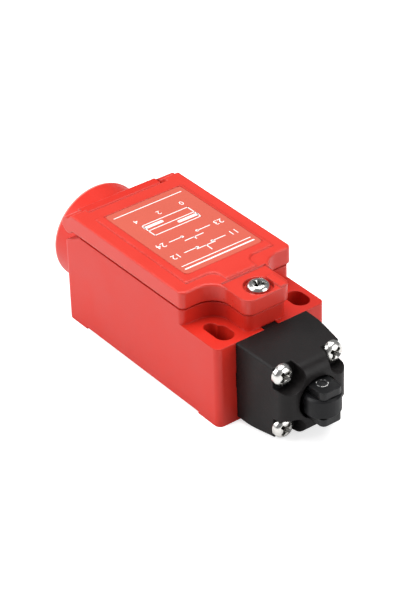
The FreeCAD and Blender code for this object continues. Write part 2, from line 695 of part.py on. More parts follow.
drawing = new_sketch(cover, "XY_Plane", "keeper_place_outline", COVER_BASE)
add_circle(drawing, "sizes.cover_screw_x", "0", "sizes.keeper_radius + sizes.cover_screw_play / 2")
add_pocket(cover, drawing, "keeper_place", "sizes.keeper_thickness", forward=True)

# Cover screw: an M3 pan head screw that stays in the tongue of the cover.
SCREW_SEAT = "(" + TONGUE_TOP + " - sizes.cover_screw_seat)"
cover_screw = new_body("cover_screw")
drawing = new_sketch(cover_screw, "XY_Plane", "cover_screw_head_outline", SCREW_SEAT)
add_circle(drawing, "sizes.cover_screw_x", "0", "sizes.cover_screw_head")
add_pad(cover_screw, drawing, "cover_screw_head", "sizes.cover_screw_head_height")
screw_seat = cover_top - size["tongue_drop"] - size["cover_screw_seat"]
screw_top = screw_seat + size["cover_screw_head_height"]


def at_height(level):
    """A test for edges that lie flat at a height."""
    def test(edge):
        box = edge.BoundBox
        return abs(box.ZMin - level) < NEAR and abs(box.ZMax - level) < NEAR
    return test


def at_place(level):
    """A test for edges that lie flat at a place along the switch."""
    def test(edge):
        box = edge.BoundBox
        return abs(box.XMin - level) < NEAR and abs(box.XMax - level) < NEAR
    return test


round_edges(cover_screw, "Chamfer", "cover_screw_edge", "sizes.screw_edge", at_height(screw_top))
drawing = new_sketch(cover_screw, "XY_Plane", "cover_screw_shank_outline", SCREW_SEAT)
add_circle(drawing, "sizes.cover_screw_x", "0", "sizes.cover_screw_radius")
add_pad(cover_screw, drawing, "cover_screw_shank", "sizes.cover_screw_length", back=True)
SCREW_TOP = SCREW_SEAT + " + sizes.cover_screw_head_height"
for name, long_side, short_side in (
        ("slot_along", "sizes.cover_screw_head * sizes.recess_share", "sizes.recess_width / 2"),
        ("slot_across", "sizes.recess_width / 2", "sizes.cover_screw_head * sizes.recess_share")):
    drawing = new_sketch(cover_screw, "XY_Plane", name + "_outline", SCREW_TOP)
    add_rectangle(drawing, "sizes.cover_screw_x - " + long_side, "sizes.cover_screw_x + " + long_side,
                  "-" + short_side, short_side)
    add_pocket(cover_screw, drawing, name, "sizes.recess_depth")

# Screw keeper: the ring under the tongue that keeps the cover screw from falling out.
keeper = new_body("screw_keeper")
drawing = new_sketch(keeper, "XY_Plane", "keeper_outline", COVER_BASE)
add_circle(drawing, "sizes.cover_screw_x", "0", "sizes.keeper_radius")
add_circle(drawing, "sizes.cover_screw_x", "0", "sizes.cover_screw_radius")
add_pad(keeper, drawing, "keeper_ring", "sizes.keeper_thickness")

# Operating head: a block that narrows to a rounded front, with four corner pockets for its screws, four
# keys that let it sit in any of four positions, and a stepped bore for the plunger.
head = new_body("operating_head")
HEAD_HALF = "(sizes.head_width / 2)"
drawing = new_sketch(head, "YZ_Plane", "head_base_outline", FRONT)
add_rectangle(drawing, "-" + HEAD_HALF, HEAD_HALF, AXIS + " - " + HEAD_HALF, AXIS + " + " + HEAD_HALF)
add_pad(head, drawing, "head_base", "sizes.head_straight")
sections = []
for name, place, side in (
        ("head_waist", FRONT + " + sizes.head_straight", HEAD_HALF),
        ("head_nose", HEAD_FRONT, "(sizes.head_front_width / 2)")):
    drawing = new_sketch(head, "YZ_Plane", name, place)
    add_rectangle(drawing, "-" + side, side, AXIS + " - " + side, AXIS + " + " + side)
    drawing.Visibility = False
    sections.append(drawing)
document.recompute()
loft = head.newObject("PartDesign::AdditiveLoft", "head_taper")
loft.Profile = sections[0]
loft.Sections = [sections[1]]
loft.Ruled = True
waist = front + size["head_straight"]
head_front = front + size["head_length"]
round_edges(head, "Fillet", "head_waist_round", "sizes.head_waist_round", at_place(waist))
round_edges(head, "Fillet", "head_front_round", "sizes.head_front_round", at_place(head_front))


def long_edges(edge):
    """The long corner edges of the head."""
    middle = edge.CenterOfMass
    sideways = min(abs(middle.y), abs(middle.z - axis_height))
    return edge.BoundBox.XLength > size["head_edge"] and sideways > size["head_front_width"] / 2 - NEAR


round_edges(head, "Fillet", "head_long_edges", "sizes.head_edge", long_edges)

CORNERS = [("-sizes.head_screw_offset", AXIS + " - sizes.head_screw_offset"),
           ("sizes.head_screw_offset", AXIS + " - sizes.head_screw_offset"),
           ("sizes.head_screw_offset", AXIS + " + sizes.head_screw_offset"),
           ("-sizes.head_screw_offset", AXIS + " + sizes.head_screw_offset")]
drawing = new_sketch(head, "YZ_Plane", "pocket_outline", HEAD_FRONT)
for across, up in CORNERS:
    add_circle(drawing, across, up, "sizes.pocket_radius")
add_pocket(head, drawing, "corner_pockets", "sizes.pocket_depth")

drawing = new_sketch(head, "YZ_Plane", "head_hole_outline", HEAD_FRONT)
for across, up in CORNERS:
    add_circle(drawing, across, up, "sizes.head_screw_radius + sizes.head_screw_play")
add_pocket(head, drawing, "head_holes", "sizes.head_length")

drawing = new_sketch(head, "YZ_Plane", "bore_outline", HEAD_FRONT)
add_circle(drawing, "0", AXIS, "sizes.bore_radius")
add_pocket(head, drawing, "plunger_bore", "sizes.head_length")

drawing = new_sketch(head, "YZ_Plane", "stop_outline", FRONT)
add_circle(drawing, "0", AXIS, "sizes.flange_radius + sizes.flange_play")
add_pocket(head, drawing, "stop_bore", "sizes.stop_depth", forward=True)

SEAL_FRONT = "(sizes.front_reach + sizes.head_length - sizes.seal_setback)"
drawing = new_sketch(head, "YZ_Plane", "seal_groove_outline", SEAL_FRONT)
add_circle(drawing, "0", AXIS, "sizes.bore_radius + sizes.seal_wall")
add_pocket(head, drawing, "seal_groove", "sizes.seal_depth")

drawing = new_sketch(head, "YZ_Plane", "head_gasket_groove_outline", FRONT)
add_circle(drawing, "0", AXIS, "sizes.head_gasket_inner + sizes.head_gasket_width")
add_circle(drawing, "0", AXIS, "sizes.head_gasket_inner")
add_pocket(head, drawing, "head_gasket_groove", "sizes.head_gasket_thickness", forward=True)

KEY_HALF = "(sizes.key_width / 2)"
KEY_EDGE = "(sizes.head_width / 2 - sizes.head_edge / 4)"
KEY_ROOT = "(sizes.head_width / 2 - sizes.key_thickness)"
drawing = new_sketch(head, "YZ_Plane", "key_outline", FRONT)
add_rectangle(drawing, "-" + KEY_HALF, KEY_HALF, AXIS + " + " + KEY_ROOT, AXIS + " + " + KEY_EDGE)
add_rectangle(drawing, "-" + KEY_HALF, KEY_HALF, AXIS + " - " + KEY_EDGE, AXIS + " - " + KEY_ROOT)
add_rectangle(drawing, "-" + KEY_EDGE, "-" + KEY_ROOT, AXIS + " - " + KEY_HALF, AXIS + " + " + KEY_HALF)
add_rectangle(drawing, KEY_ROOT, KEY_EDGE, AXIS + " - " + KEY_HALF, AXIS + " + " + KEY_HALF)
add_pad(head, drawing, "keys", "sizes.key_length", back=True)

# Head gasket: a ring in the groove of the head's rear face.
head_gasket = new_body("head_gasket")
drawing = new_sketch(head_gasket, "YZ_Plane", "head_gasket_outline", FRONT)
add_circle(drawing, "0", AXIS, "sizes.head_gasket_inner + sizes.head_gasket_width")
add_circle(drawing, "0", AXIS, "sizes.head_gasket_inner")
add_pad(head_gasket, drawing, "head_gasket_ring", "sizes.head_gasket_thickness")

# Head screws: four M2.5 pan head screws in the corner pockets.
head_screws = new_body("head_screws", many=True)
drawing = new_sketch(head_screws, "YZ_Plane", "head_screw_head_outline", POCKET_FLOOR)
for across, up in CORNERS:
    add_circle(drawing, across, up, "sizes.head_screw_head")
add_pad(head_screws, drawing, "head_screw_heads", "sizes.head_screw_head_height")
head_screw_top = front + size["head_length"] - size["pocket_depth"] + size["head_screw_head_height"]
round_edges(head_screws, "Chamfer", "head_screw_edges", "sizes.screw_edge", at_place(head_screw_top))
drawing = new_sketch(head_screws, "YZ_Plane", "head_screw_shank_outline", POCKET_FLOOR)
for across, up in CORNERS:
    add_circle(drawing, across, up, "sizes.head_screw_radius")
add_pad(head_screws, drawing, "head_screw_shanks",
        "sizes.head_length - sizes.pocket_depth + sizes.head_screw_bite", back=True)
SCREW_FACE = POCKET_FLOOR + " + sizes.head_screw_head_height"
for name, wide, tall in (
        ("cross_level", "sizes.head_screw_head * sizes.recess_share", "sizes.recess_width / 2"),
        ("cross_upright", "sizes.recess_width / 2", "sizes.head_screw_head * sizes.recess_share")):
    drawing = new_sketch(head_screws, "YZ_Plane", name + "_outline", SCREW_FACE)
    for across, up in CORNERS:
        add_rectangle(drawing, across + " - " + wide, across + " + " + wide,
                      up + " - " + tall, up + " + " + tall)
    add_pocket(head_screws, drawing, name, "sizes.recess_depth")

# Roller plunger: a round shank with a stop flange at the rear and a fork for the roller in front.
plunger = new_body("roller_plunger")
PLUNGER_RADIUS = "(sizes.bore_radius - sizes.plunger_play)"
FORK_ROOT = "(sizes.roller_x - sizes.roller_radius - sizes.roller_rear_play)"
PLUNGER_REAR = "(" + STOP + " - sizes.flange_length)"
ARM_TOP = "(sizes.roller_width / 2 + sizes.roller_side_play + sizes.arm_thickness)"
ARM_END = "(sizes.roller_x + sizes.arm_tip)"
drawing = new_sketch(plunger, "YZ_Plane", "arm_outline", FORK_ROOT + " - sizes.rod_seat / 2")
add_rectangle(drawing, "-sizes.arm_width / 2", "sizes.arm_width / 2",
              AXIS + " - " + ARM_TOP, AXIS + " + " + ARM_TOP)
add_pad(plunger, drawing, "arms", ARM_END + " - " + FORK_ROOT + " + sizes.rod_seat / 2")
arm_end = size["roller_x"] + size["arm_tip"]
round_edges(plunger, "Fillet", "arm_tips", "sizes.arm_tip_round",
            upright_at([(arm_end, size["arm_width"] / 2)]))

drawing = new_sketch(plunger, "YZ_Plane", "shank_outline", STOP)
add_circle(drawing, "0", AXIS, PLUNGER_RADIUS)
add_pad(plunger, drawing, "shank", FORK_ROOT + " - " + STOP)

drawing = new_sketch(plunger, "YZ_Plane", "flange_outline", PLUNGER_REAR)
add_circle(drawing, "0", AXIS, "sizes.flange_radius")
add_pad(plunger, drawing, "flange", "sizes.flange_length")

drawing = new_sketch(plunger, "YZ_Plane", "roller_gap_outline", ARM_END)
ROLLER_GAP = "(sizes.roller_width / 2 + sizes.roller_side_play)"
add_rectangle(drawing, "-" + PLUNGER_RADIUS, PLUNGER_RADIUS, AXIS + " - " + ROLLER_GAP,
              AXIS + " + " + ROLLER_GAP)
add_pocket(plunger, drawing, "roller_gap", ARM_END + " - " + FORK_ROOT)

drawing = new_sketch(plunger, "YZ_Plane", "spring_well_outline", PLUNGER_REAR)
add_circle(drawing, "0", AXIS, "sizes.spring_well_radius")
add_pocket(plunger, drawing, "spring_well", "sizes.spring_well_depth", forward=True)

WELL_END = "(" + PLUNGER_REAR + " + sizes.spring_well_depth)"
drawing = new_sketch(plunger, "YZ_Plane", "rod_seat_outline", WELL_END)
add_circle(drawing, "0", AXIS, "sizes.rod_radius")
add_pocket(plunger, drawing, "rod_seat", "sizes.rod_seat / 2", forward=True)

drawing = new_sketch(plunger, "XY_Plane", "axle_hole_outline", AXIS + " + " + ARM_TOP)
add_circle(drawing, "sizes.roller_x", "0", "sizes.axle_radius")
add_pocket(plunger, drawing, "axle_hole", "2 * " + ARM_TOP)

# Roller: a small wheel between the arms of the fork.
roller = new_body("roller")
drawing = new_sketch(roller, "XY_Plane", "roller_outline", AXIS + " - sizes.roller_width / 2")
add_circle(drawing, "sizes.roller_x", "0", "sizes.roller_radius")
add_pad(roller, drawing, "roller_disc", "sizes.roller_width")
roller_ends = (axis_height - size["roller_width"] / 2, axis_height + size["roller_width"] / 2)
round_edges(roller, "Chamfer", "roller_rims", "sizes.roller_chamfer",
            lambda edge: any(at_height(level)(edge) for level in roller_ends))
drawing = new_sketch(roller, "XY_Plane", "roller_bore_outline", AXIS + " + sizes.roller_width / 2")
add_circle(drawing, "sizes.roller_x", "0", "sizes.axle_radius + sizes.axle_play")
add_pocket(roller, drawing, "roller_bore", "sizes.roller_width")

# Roller axle: a pin through both arms, with a small dimple in each end.
axle = new_body("roller_axle")
drawing = new_sketch(axle, "XY_Plane", "axle_outline", AXIS + " - " + ARM_TOP)
add_circle(drawing, "sizes.roller_x", "0", "sizes.axle_radius")
add_pad(axle, drawing, "axle_pin", "2 * " + ARM_TOP)
for name, level, upward in (("top_dimple", AXIS + " + " + ARM_TOP, False),
                            ("bottom_dimple", AXIS + " - " + ARM_TOP, True)):
    drawing = new_sketch(axle, "XY_Plane", name + "_outline", level)
    add_circle(drawing, "sizes.roller_x", "0", "sizes.axle_dimple")
    add_pocket(axle, drawing, name, "sizes.axle_dimple_depth", forward=upward)

# Plunger seal: a ring in the groove of the head that wipes the shank.
seal = new_body("plunger_seal")
drawing = new_sketch(seal, "YZ_Plane", "seal_outline", SEAL_FRONT + " - sizes.seal_depth")
add_circle(drawing, "0", AXIS, "sizes.bore_radius + sizes.seal_wall")
add_circle(drawing, "0", AXIS, "sizes.bore_radius - sizes.plunger_play / 2")
add_pad(seal, drawing, "seal_ring", "sizes.seal_depth")

# Spring plate: a disc in the head, against the housing, that the return spring pushes on.
plate = new_body("spring_plate")
drawing = new_sketch(plate, "YZ_Plane", "plate_outline", FRONT)
add_circle(drawing, "0", AXIS, "sizes.flange_radius + sizes.flange_play")
add_circle(drawing, "0", AXIS, "sizes.rod_radius + sizes.rod_play")
add_pad(plate, drawing, "plate_disc", "sizes.plate_thickness")

# Push rod: carries the plunger's movement through the front wall to the contact slider.
rod = new_body("push_rod")
drawing = new_sketch(rod, "YZ_Plane", "rod_outline", SLIDER_FRONT + " - sizes.rod_socket")
add_circle(drawing, "0", AXIS, "sizes.rod_radius")
add_pad(rod, drawing, "rod", WELL_END + " + sizes.rod_seat / 2 - (" + SLIDER_FRONT + " - sizes.rod_socket)")


def add_coil(body, name, start, length, coil_radius, wire, turns):
    """A coil spring of square wire along the switch's axis; wire is half the wire's thickness."""
    drawing = new_sketch(body, "XZ_Plane", name + "_wire")
    add_rectangle(drawing, start, start + " + 2 * " + wire, AXIS + " + " + coil_radius + " - " + wire,
                  AXIS + " + " + coil_radius + " + " + wire)
    ends = [FreeCAD.Vector(rear, axis_height, 0), FreeCAD.Vector(head_front, axis_height, 0)]
    axis_line = drawing.addGeometry(Part.LineSegment(ends[0], ends[1]), True)
    fix_point(drawing, axis_line, 1, REAR, AXIS)
    fix_point(drawing, axis_line, 2, HEAD_FRONT, AXIS)
    document.recompute()
    coil = body.newObject("PartDesign::AdditiveHelix", name)
    coil.Profile = drawing
    coil.ReferenceAxis = (drawing, ["Axis0"])
    coil.Mode = "height-turns-angle"
    coil.setExpression("Height", length + " - 2 * " + wire)
    coil.setExpression("Turns", turns)
    drawing.Visibility = False
    document.recompute()


# Return spring: pushes the plunger out, between the spring plate and the end of the well.
spring = new_body("return_spring")
PLATE_FRONT = "(sizes.front_reach + sizes.plate_thickness)"
add_coil(spring, "return_coil", PLATE_FRONT, WELL_END + " - " + PLATE_FRONT,
         "sizes.spring_radius", "sizes.spring_wire", "sizes.spring_turns")

# Contact base: the insulating block in the cavity, with a way for the slider, two chambers for the
# bridges and four terminal places.
base = new_body("contact_base")
drawing = new_sketch(base, "XY_Plane", "base_outline", "sizes.floor")
add_rectangle(drawing, BLOCK_REAR, BLOCK_FRONT, "-" + BLOCK_HALF, BLOCK_HALF)
add_pad(base, drawing, "base_block", BLOCK_HIGH)

SLIDER_HALF = "(sizes.slider_width / 2 + sizes.slider_play)"
WAY_FLOOR = "(" + AXIS + " - sizes.slider_height / 2 - sizes.slider_play)"
WAY_REAR = "(" + SLIDER_REAR + " - sizes.travel - sizes.chamber_play)"
drawing = new_sketch(base, "XY_Plane", "slider_way_outline", BLOCK_TOP)
add_rectangle(drawing, WAY_REAR, BLOCK_FRONT, "-" + SLIDER_HALF, SLIDER_HALF)
add_pocket(base, drawing, "slider_way", BLOCK_TOP + " - " + WAY_FLOOR)

CHAMBER_FLOOR = "(" + AXIS + " - sizes.bridge_height / 2 - sizes.chamber_gap)"
CHAMBER_SIDE = "(sizes.chamber_side_share * " + BLOCK_HALF + ")"
drawing = new_sketch(base, "XY_Plane", "chamber_outline", BLOCK_TOP)
add_rectangle(drawing, BREAK_FACE + " - sizes.bridge_thickness - sizes.travel - sizes.chamber_play",
              BREAK_STRIP + " + sizes.strip_thickness", "-" + CHAMBER_SIDE, CHAMBER_SIDE)
add_rectangle(drawing, MAKE_STRIP + " - sizes.strip_thickness", MAKE_FACE + " + sizes.chamber_play",
              "-" + CHAMBER_SIDE, CHAMBER_SIDE)
add_pocket(base, drawing, "chambers", BLOCK_TOP + " - " + CHAMBER_FLOOR)

SEAT_IN = "(" + CONTACT_SIDE + " - " + CLAMP_SIDE + " - sizes.chamber_play / 2)"
SEAT_OUT = "(" + CONTACT_SIDE + " + " + CLAMP_SIDE + " + sizes.chamber_play / 2)"
drawing = new_sketch(base, "XY_Plane", "terminal_seat_outline", BLOCK_TOP)
for near_edge, far_edge in (
        (BREAK_STRIP, BREAK_STRIP + " + " + STRIP_LONG),
        (MAKE_STRIP + " - " + STRIP_LONG, MAKE_STRIP)):
    add_rectangle(drawing, near_edge, far_edge, SEAT_IN, SEAT_OUT)
    add_rectangle(drawing, near_edge, far_edge, "-" + SEAT_OUT, "-" + SEAT_IN)
add_pocket(base, drawing, "terminal_seats", "sizes.strip_thickness")

TERMINALS = [(TERMINAL_FRONT, "-" + CONTACT_SIDE), (TERMINAL_FRONT, CONTACT_SIDE),
             (TERMINAL_REAR, "-" + CONTACT_SIDE), (TERMINAL_REAR, CONTACT_SIDE)]
drawing = new_sketch(base, "XY_Plane", "terminal_well_outline", BLOCK_TOP)
for across, up in TERMINALS:
    add_circle(drawing, across, up, "sizes.terminal_well")
add_pocket(base, drawing, "terminal_wells", "sizes.terminal_length")

drawing = new_sketch(base, "XY_Plane", "block_screw_sink_outline", BLOCK_TOP)
add_circle(drawing, BLOCK_SCREW_X, "0", "sizes.block_screw_head + sizes.rod_play")
add_pocket(base, drawing, "block_screw_sink", "sizes.block_screw_sink")
drawing = new_sketch(base, "XY_Plane", "block_screw_way_outline", BLOCK_TOP)
add_circle(drawing, BLOCK_SCREW_X, "0", "sizes.block_screw_radius + sizes.head_screw_play")
add_pocket(base, drawing, "block_screw_way", BLOCK_HIGH)

# Contact lid: closes the way of the slider from above.
lid = new_body("contact_lid")
drawing = new_sketch(lid, "XY_Plane", "lid_outline", BLOCK_TOP)
LID_REAR = "(" + WAY_REAR + " - sizes.lid_gap)"
LID_SIDE = "(sizes.lid_side_share * " + BLOCK_HALF + ")"
add_rectangle(drawing, LID_REAR, BLOCK_FRONT, "-" + LID_SIDE, LID_SIDE)
add_pad(lid, drawing, "lid_plate", "sizes.lid_thickness")
drawing = new_sketch(lid, "XY_Plane", "lid_lip_outline", BLOCK_TOP)
add_rectangle(drawing, SLIDER_REAR, BLOCK_FRONT + " - sizes.lid_lip",
              "-sizes.slider_width / 2", "sizes.slider_width / 2")
add_pad(lid, drawing, "lid_lip", "sizes.lid_lip", back=True)

# Contact slider: moves with the push rod and carries both bridges in its windows.
slider = new_body("contact_slider")
drawing = new_sketch(slider, "YZ_Plane", "slider_outline", SLIDER_REAR)
SLIDER_TALL = "(sizes.slider_height / 2)"
add_rectangle(drawing, "-sizes.slider_width / 2", "sizes.slider_width / 2",
              AXIS + " - " + SLIDER_TALL, AXIS + " + " + SLIDER_TALL)
add_pad(slider, drawing, "slider_bar", SLIDER_FRONT + " - " + SLIDER_REAR)
drawing = new_sketch(slider, "YZ_Plane", "rod_socket_outline", SLIDER_FRONT)
add_circle(drawing, "0", AXIS, "sizes.rod_radius")
add_pocket(slider, drawing, "rod_socket", "sizes.rod_socket")
BRIDGE_TALL = "(sizes.bridge_height / 2)"
drawing = new_sketch(slider, "XZ_Plane", "window_outline", "sizes.slider_width / 2")
add_rectangle(drawing, BREAK_FACE + " - sizes.bridge_thickness - " + BREAK_SPRING, BREAK_FACE,
              AXIS + " - " + BRIDGE_TALL, AXIS + " + " + BRIDGE_TALL)
add_rectangle(drawing, MAKE_FACE + " - sizes.bridge_thickness", MAKE_FACE + " + " + MAKE_SPRING,
              AXIS + " - " + BRIDGE_TALL, AXIS + " + " + BRIDGE_TALL)
add_pocket(slider, drawing, "windows", "sizes.slider_width")

# Contact bridges: two copper bars with contact buttons at their ends.
bridges = new_body("contact_bridges", many=True)
BRIDGE_SIDE = "(sizes.bridge_side_share * " + BLOCK_HALF + ")"
drawing = new_sketch(bridges, "XY_Plane", "bridge_outline", AXIS + " - " + BRIDGE_TALL)
for face in (BREAK_FACE, MAKE_FACE):
    add_rectangle(drawing, face + " - sizes.bridge_thickness", face, "-" + BRIDGE_SIDE, BRIDGE_SIDE)
add_pad(bridges, drawing, "bridge_bars", "sizes.bridge_height")
for name, place, backward in (
        ("break_buttons", BREAK_FACE, False),
        ("make_buttons", MAKE_FACE + " - sizes.bridge_thickness", True)):
    drawing = new_sketch(bridges, "YZ_Plane", name + "_outline", place)
    add_circle(drawing, "-" + CONTACT_SIDE, AXIS, "sizes.button_radius")
    add_circle(drawing, CONTACT_SIDE, AXIS, "sizes.button_radius")
    add_pad(bridges, drawing, name, "sizes.button_thickness", back=backward)

# Contact springs: press the bridges against their windows.
contact_springs = new_body("contact_springs", many=True)
SPRING_MIDDLE = "(sizes.contact_spring_radius - sizes.contact_spring_wire)"
BREAK_SPRING_REAR = "(" + BREAK_FACE + " - sizes.bridge_thickness - " + BREAK_SPRING + ")"
add_coil(contact_springs, "break_coil", BREAK_SPRING_REAR, BREAK_SPRING, SPRING_MIDDLE,
         "sizes.contact_spring_wire", "sizes.break_spring_turns")
add_coil(contact_springs, "make_coil", MAKE_FACE, MAKE_SPRING, SPRING_MIDDLE,
         "sizes.contact_spring_wire", "sizes.make_spring_turns")

# Fixed contacts: four bent brass strips, each with a contact button and a plate for a terminal screw.
strips = new_body("fixed_contacts", many=True)
STRIP_FOOT = "(" + AXIS + " - sizes.strip_toe)"
STRIP_SIDE = "(sizes.strip_side_share * " + BLOCK_HALF + ")"
STRIP_IN = "(" + CONTACT_SIDE + " - " + STRIP_SIDE + ")"
STRIP_OUT = "(" + CONTACT_SIDE + " + " + STRIP_SIDE + ")"
PLATE_LOW = "(" + BLOCK_TOP + " - sizes.strip_thickness)"
for side, start in (("right", "-" + STRIP_OUT), ("left", STRIP_IN)):
    drawing = new_sketch(strips, "XZ_Plane", side + "_strip_outline", start)
    for root, turn in ((BREAK_STRIP, " + "), (MAKE_STRIP, " - ")):
        add_outline(drawing, [
            (root, STRIP_FOOT), (root, BLOCK_TOP),
            (root + turn + STRIP_LONG, BLOCK_TOP),
            (root + turn + STRIP_LONG, PLATE_LOW),
            (root + turn + "sizes.strip_thickness", PLATE_LOW),
            (root + turn + "sizes.strip_thickness", STRIP_FOOT)])
    add_pad(strips, drawing, side + "_strips", "2 * " + STRIP_SIDE)
for name, place, backward in (("front_buttons", BREAK_STRIP, True), ("rear_buttons", MAKE_STRIP, False)):
    drawing = new_sketch(strips, "YZ_Plane", name + "_outline", place)
    add_circle(drawing, "-" + CONTACT_SIDE, AXIS, "sizes.button_radius")
    add_circle(drawing, CONTACT_SIDE, AXIS, "sizes.button_radius")
    add_pad(strips, drawing, name, "sizes.button_thickness", back=backward)
drawing = new_sketch(strips, "XY_Plane", "strip_thread_outline", BLOCK_TOP)
for across, up in TERMINALS:
    add_circle(drawing, across, up, "sizes.terminal_radius")
add_pocket(strips, drawing, "strip_threads", "sizes.strip_thickness")

# Terminal clamps: a square washer under each terminal screw.
clamps = new_body("terminal_clamps", many=True)
drawing = new_sketch(clamps, "XY_Plane", "clamp_outline", BLOCK_TOP)
for across, up in TERMINALS:
    add_rectangle(drawing, across + " - " + CLAMP_SIDE, across + " + " + CLAMP_SIDE,
                  up + " - " + CLAMP_SIDE, up + " + " + CLAMP_SIDE)
    add_circle(drawing, across, up, "sizes.terminal_radius + sizes.pivot_play")
add_pad(clamps, drawing, "clamp_plates", "sizes.clamp_thickness")

# Terminal screws: four M3 screws that clamp the wires.
CLAMP_TOP = "(" + BLOCK_TOP + " + sizes.clamp_thickness)"
TERMINAL_HEAD = "(sizes.terminal_head_share * " + BLOCK_HALF + ")"
terminal_screws = new_body("terminal_screws", many=True)
drawing = new_sketch(terminal_screws, "XY_Plane", "terminal_head_outline", CLAMP_TOP)
for across, up in TERMINALS:
    add_circle(drawing, across, up, TERMINAL_HEAD)
add_pad(terminal_screws, drawing, "terminal_heads", "sizes.terminal_head_height")
block_top = axis_height + size["block_rise"]
terminal_top = block_top + size["clamp_thickness"] + size["terminal_head_height"]
round_edges(terminal_screws, "Chamfer", "terminal_edges", "sizes.screw_edge", at_height(terminal_top))
drawing = new_sketch(terminal_screws, "XY_Plane", "terminal_shank_outline", CLAMP_TOP)
for across, up in TERMINALS:
    add_circle(drawing, across, up, "sizes.terminal_radius")
add_pad(terminal_screws, drawing, "terminal_shanks", "sizes.terminal_length", back=True)
drawing = new_sketch(terminal_screws, "XY_Plane", "terminal_slot_outline",
                     CLAMP_TOP + " + sizes.terminal_head_height")
for across, up in TERMINALS:
    add_rectangle(drawing, across + " - " + TERMINAL_HEAD, across + " + " + TERMINAL_HEAD,
                  up + " - sizes.recess_width / 2", up + " + sizes.recess_width / 2")
add_pocket(terminal_screws, drawing, "terminal_slots", "sizes.recess_depth")

# Block screw: holds the contact base to the floor of the housing.
block_screw = new_body("block_screw")
SINK_FLOOR = "(" + BLOCK_TOP + " - sizes.block_screw_sink)"
drawing = new_sketch(block_screw, "XY_Plane", "block_screw_head_outline", SINK_FLOOR)
add_circle(drawing, BLOCK_SCREW_X, "0", "sizes.block_screw_head")
add_pad(block_screw, drawing, "block_screw_cap", "sizes.block_screw_head_height")
block_screw_top = block_top - size["block_screw_sink"] + size["block_screw_head_height"]
round_edges(block_screw, "Chamfer", "block_screw_edge", "sizes.screw_edge", at_height(block_screw_top))
drawing = new_sketch(block_screw, "XY_Plane", "block_screw_shank_outline", SINK_FLOOR)
add_circle(drawing, BLOCK_SCREW_X, "0", "sizes.block_screw_radius")
add_pad(block_screw, drawing, "block_screw_shank",
        BLOCK_HIGH + " - sizes.block_screw_sink + sizes.block_screw_bite", back=True)

# Check every object, then write one file for each sub-part.
document.recompute()
sub_parts = [item for item in document.Objects if item.TypeId == "PartDesign::Body"]
for item in document.Objects:
    if "Invalid" in item.State or "Error" in item.State:
        raise RuntimeError("%s is not valid: %s" % (item.Label, item.State))
os.makedirs("parts", exist_ok=True)
for item in sub_parts:
    if item.Shape.isNull() or not item.Shape.isValid():
        raise RuntimeError("%s has no valid shape" % item.Label)
    item.Shape.exportStep("parts/%s.step" % item.Label)
    print("%-18s %8.1f mm3 %d solids" % (item.Label, item.Shape.Volume, len(item.Shape.Solids)))
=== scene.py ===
import math

import bpy
from mathutils import Matrix, Vector


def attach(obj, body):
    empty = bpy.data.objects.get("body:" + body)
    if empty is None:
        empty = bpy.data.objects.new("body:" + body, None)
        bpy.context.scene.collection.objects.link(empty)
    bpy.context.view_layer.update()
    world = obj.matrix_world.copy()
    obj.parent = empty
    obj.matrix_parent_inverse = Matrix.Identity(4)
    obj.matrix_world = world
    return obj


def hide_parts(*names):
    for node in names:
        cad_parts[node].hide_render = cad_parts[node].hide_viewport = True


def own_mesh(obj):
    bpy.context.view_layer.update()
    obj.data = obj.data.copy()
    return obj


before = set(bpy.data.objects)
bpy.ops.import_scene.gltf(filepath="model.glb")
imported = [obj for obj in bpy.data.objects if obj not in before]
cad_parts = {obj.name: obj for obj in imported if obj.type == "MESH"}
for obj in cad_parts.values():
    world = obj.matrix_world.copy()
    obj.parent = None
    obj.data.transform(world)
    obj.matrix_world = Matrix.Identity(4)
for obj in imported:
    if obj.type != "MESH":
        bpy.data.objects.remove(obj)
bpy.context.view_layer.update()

# Housing: the body of the switch, moulded in one piece of red glass-filled nylon with a satin skin.
# Its sides are slightly rough from the mould, and the end rim of its boss has a painted highlight: a
# fine pale edge where the light grazes its chamfer.
MM = 0.001
HOUSING_RED = (0.56, 0.020, 0.010)
RIM_INNER = -60.3 * MM
RIM_OUTER = -60.8 * MM
RIM_MIDDLE = (0.0, 0.0, 13.5 * MM)
RIM_RADIUS = 12.06 * MM
# Painted highlight for the pale edge on the boss's end rim.
RIM_PAINTED_HIGHLIGHT = (0.86, 0.52, 0.46)
RIM_HIGHLIGHT_STRENGTH = 0.7


def start_group(name, inputs, outputs):
    """An empty group of shader nodes with named inputs and outputs."""
    group = bpy.data.node_groups.new(name, "ShaderNodeTree")
    for kind, title, value in inputs:
        socket = group.interface.new_socket(name=title, in_out="INPUT", socket_type=kind)
        socket.default_value = value
    for kind, title in outputs:
        group.interface.new_socket(name=title, in_out="OUTPUT", socket_type=kind)
    return group


def add_node(tree, kind, settings=(), values=()):
    """Adds one node with its settings and the values of its inputs."""
    made = tree.nodes.new(kind)
    for name, value in settings:
        setattr(made, name, value)
    for name, value in values:
        made.inputs[name].default_value = value
    return made


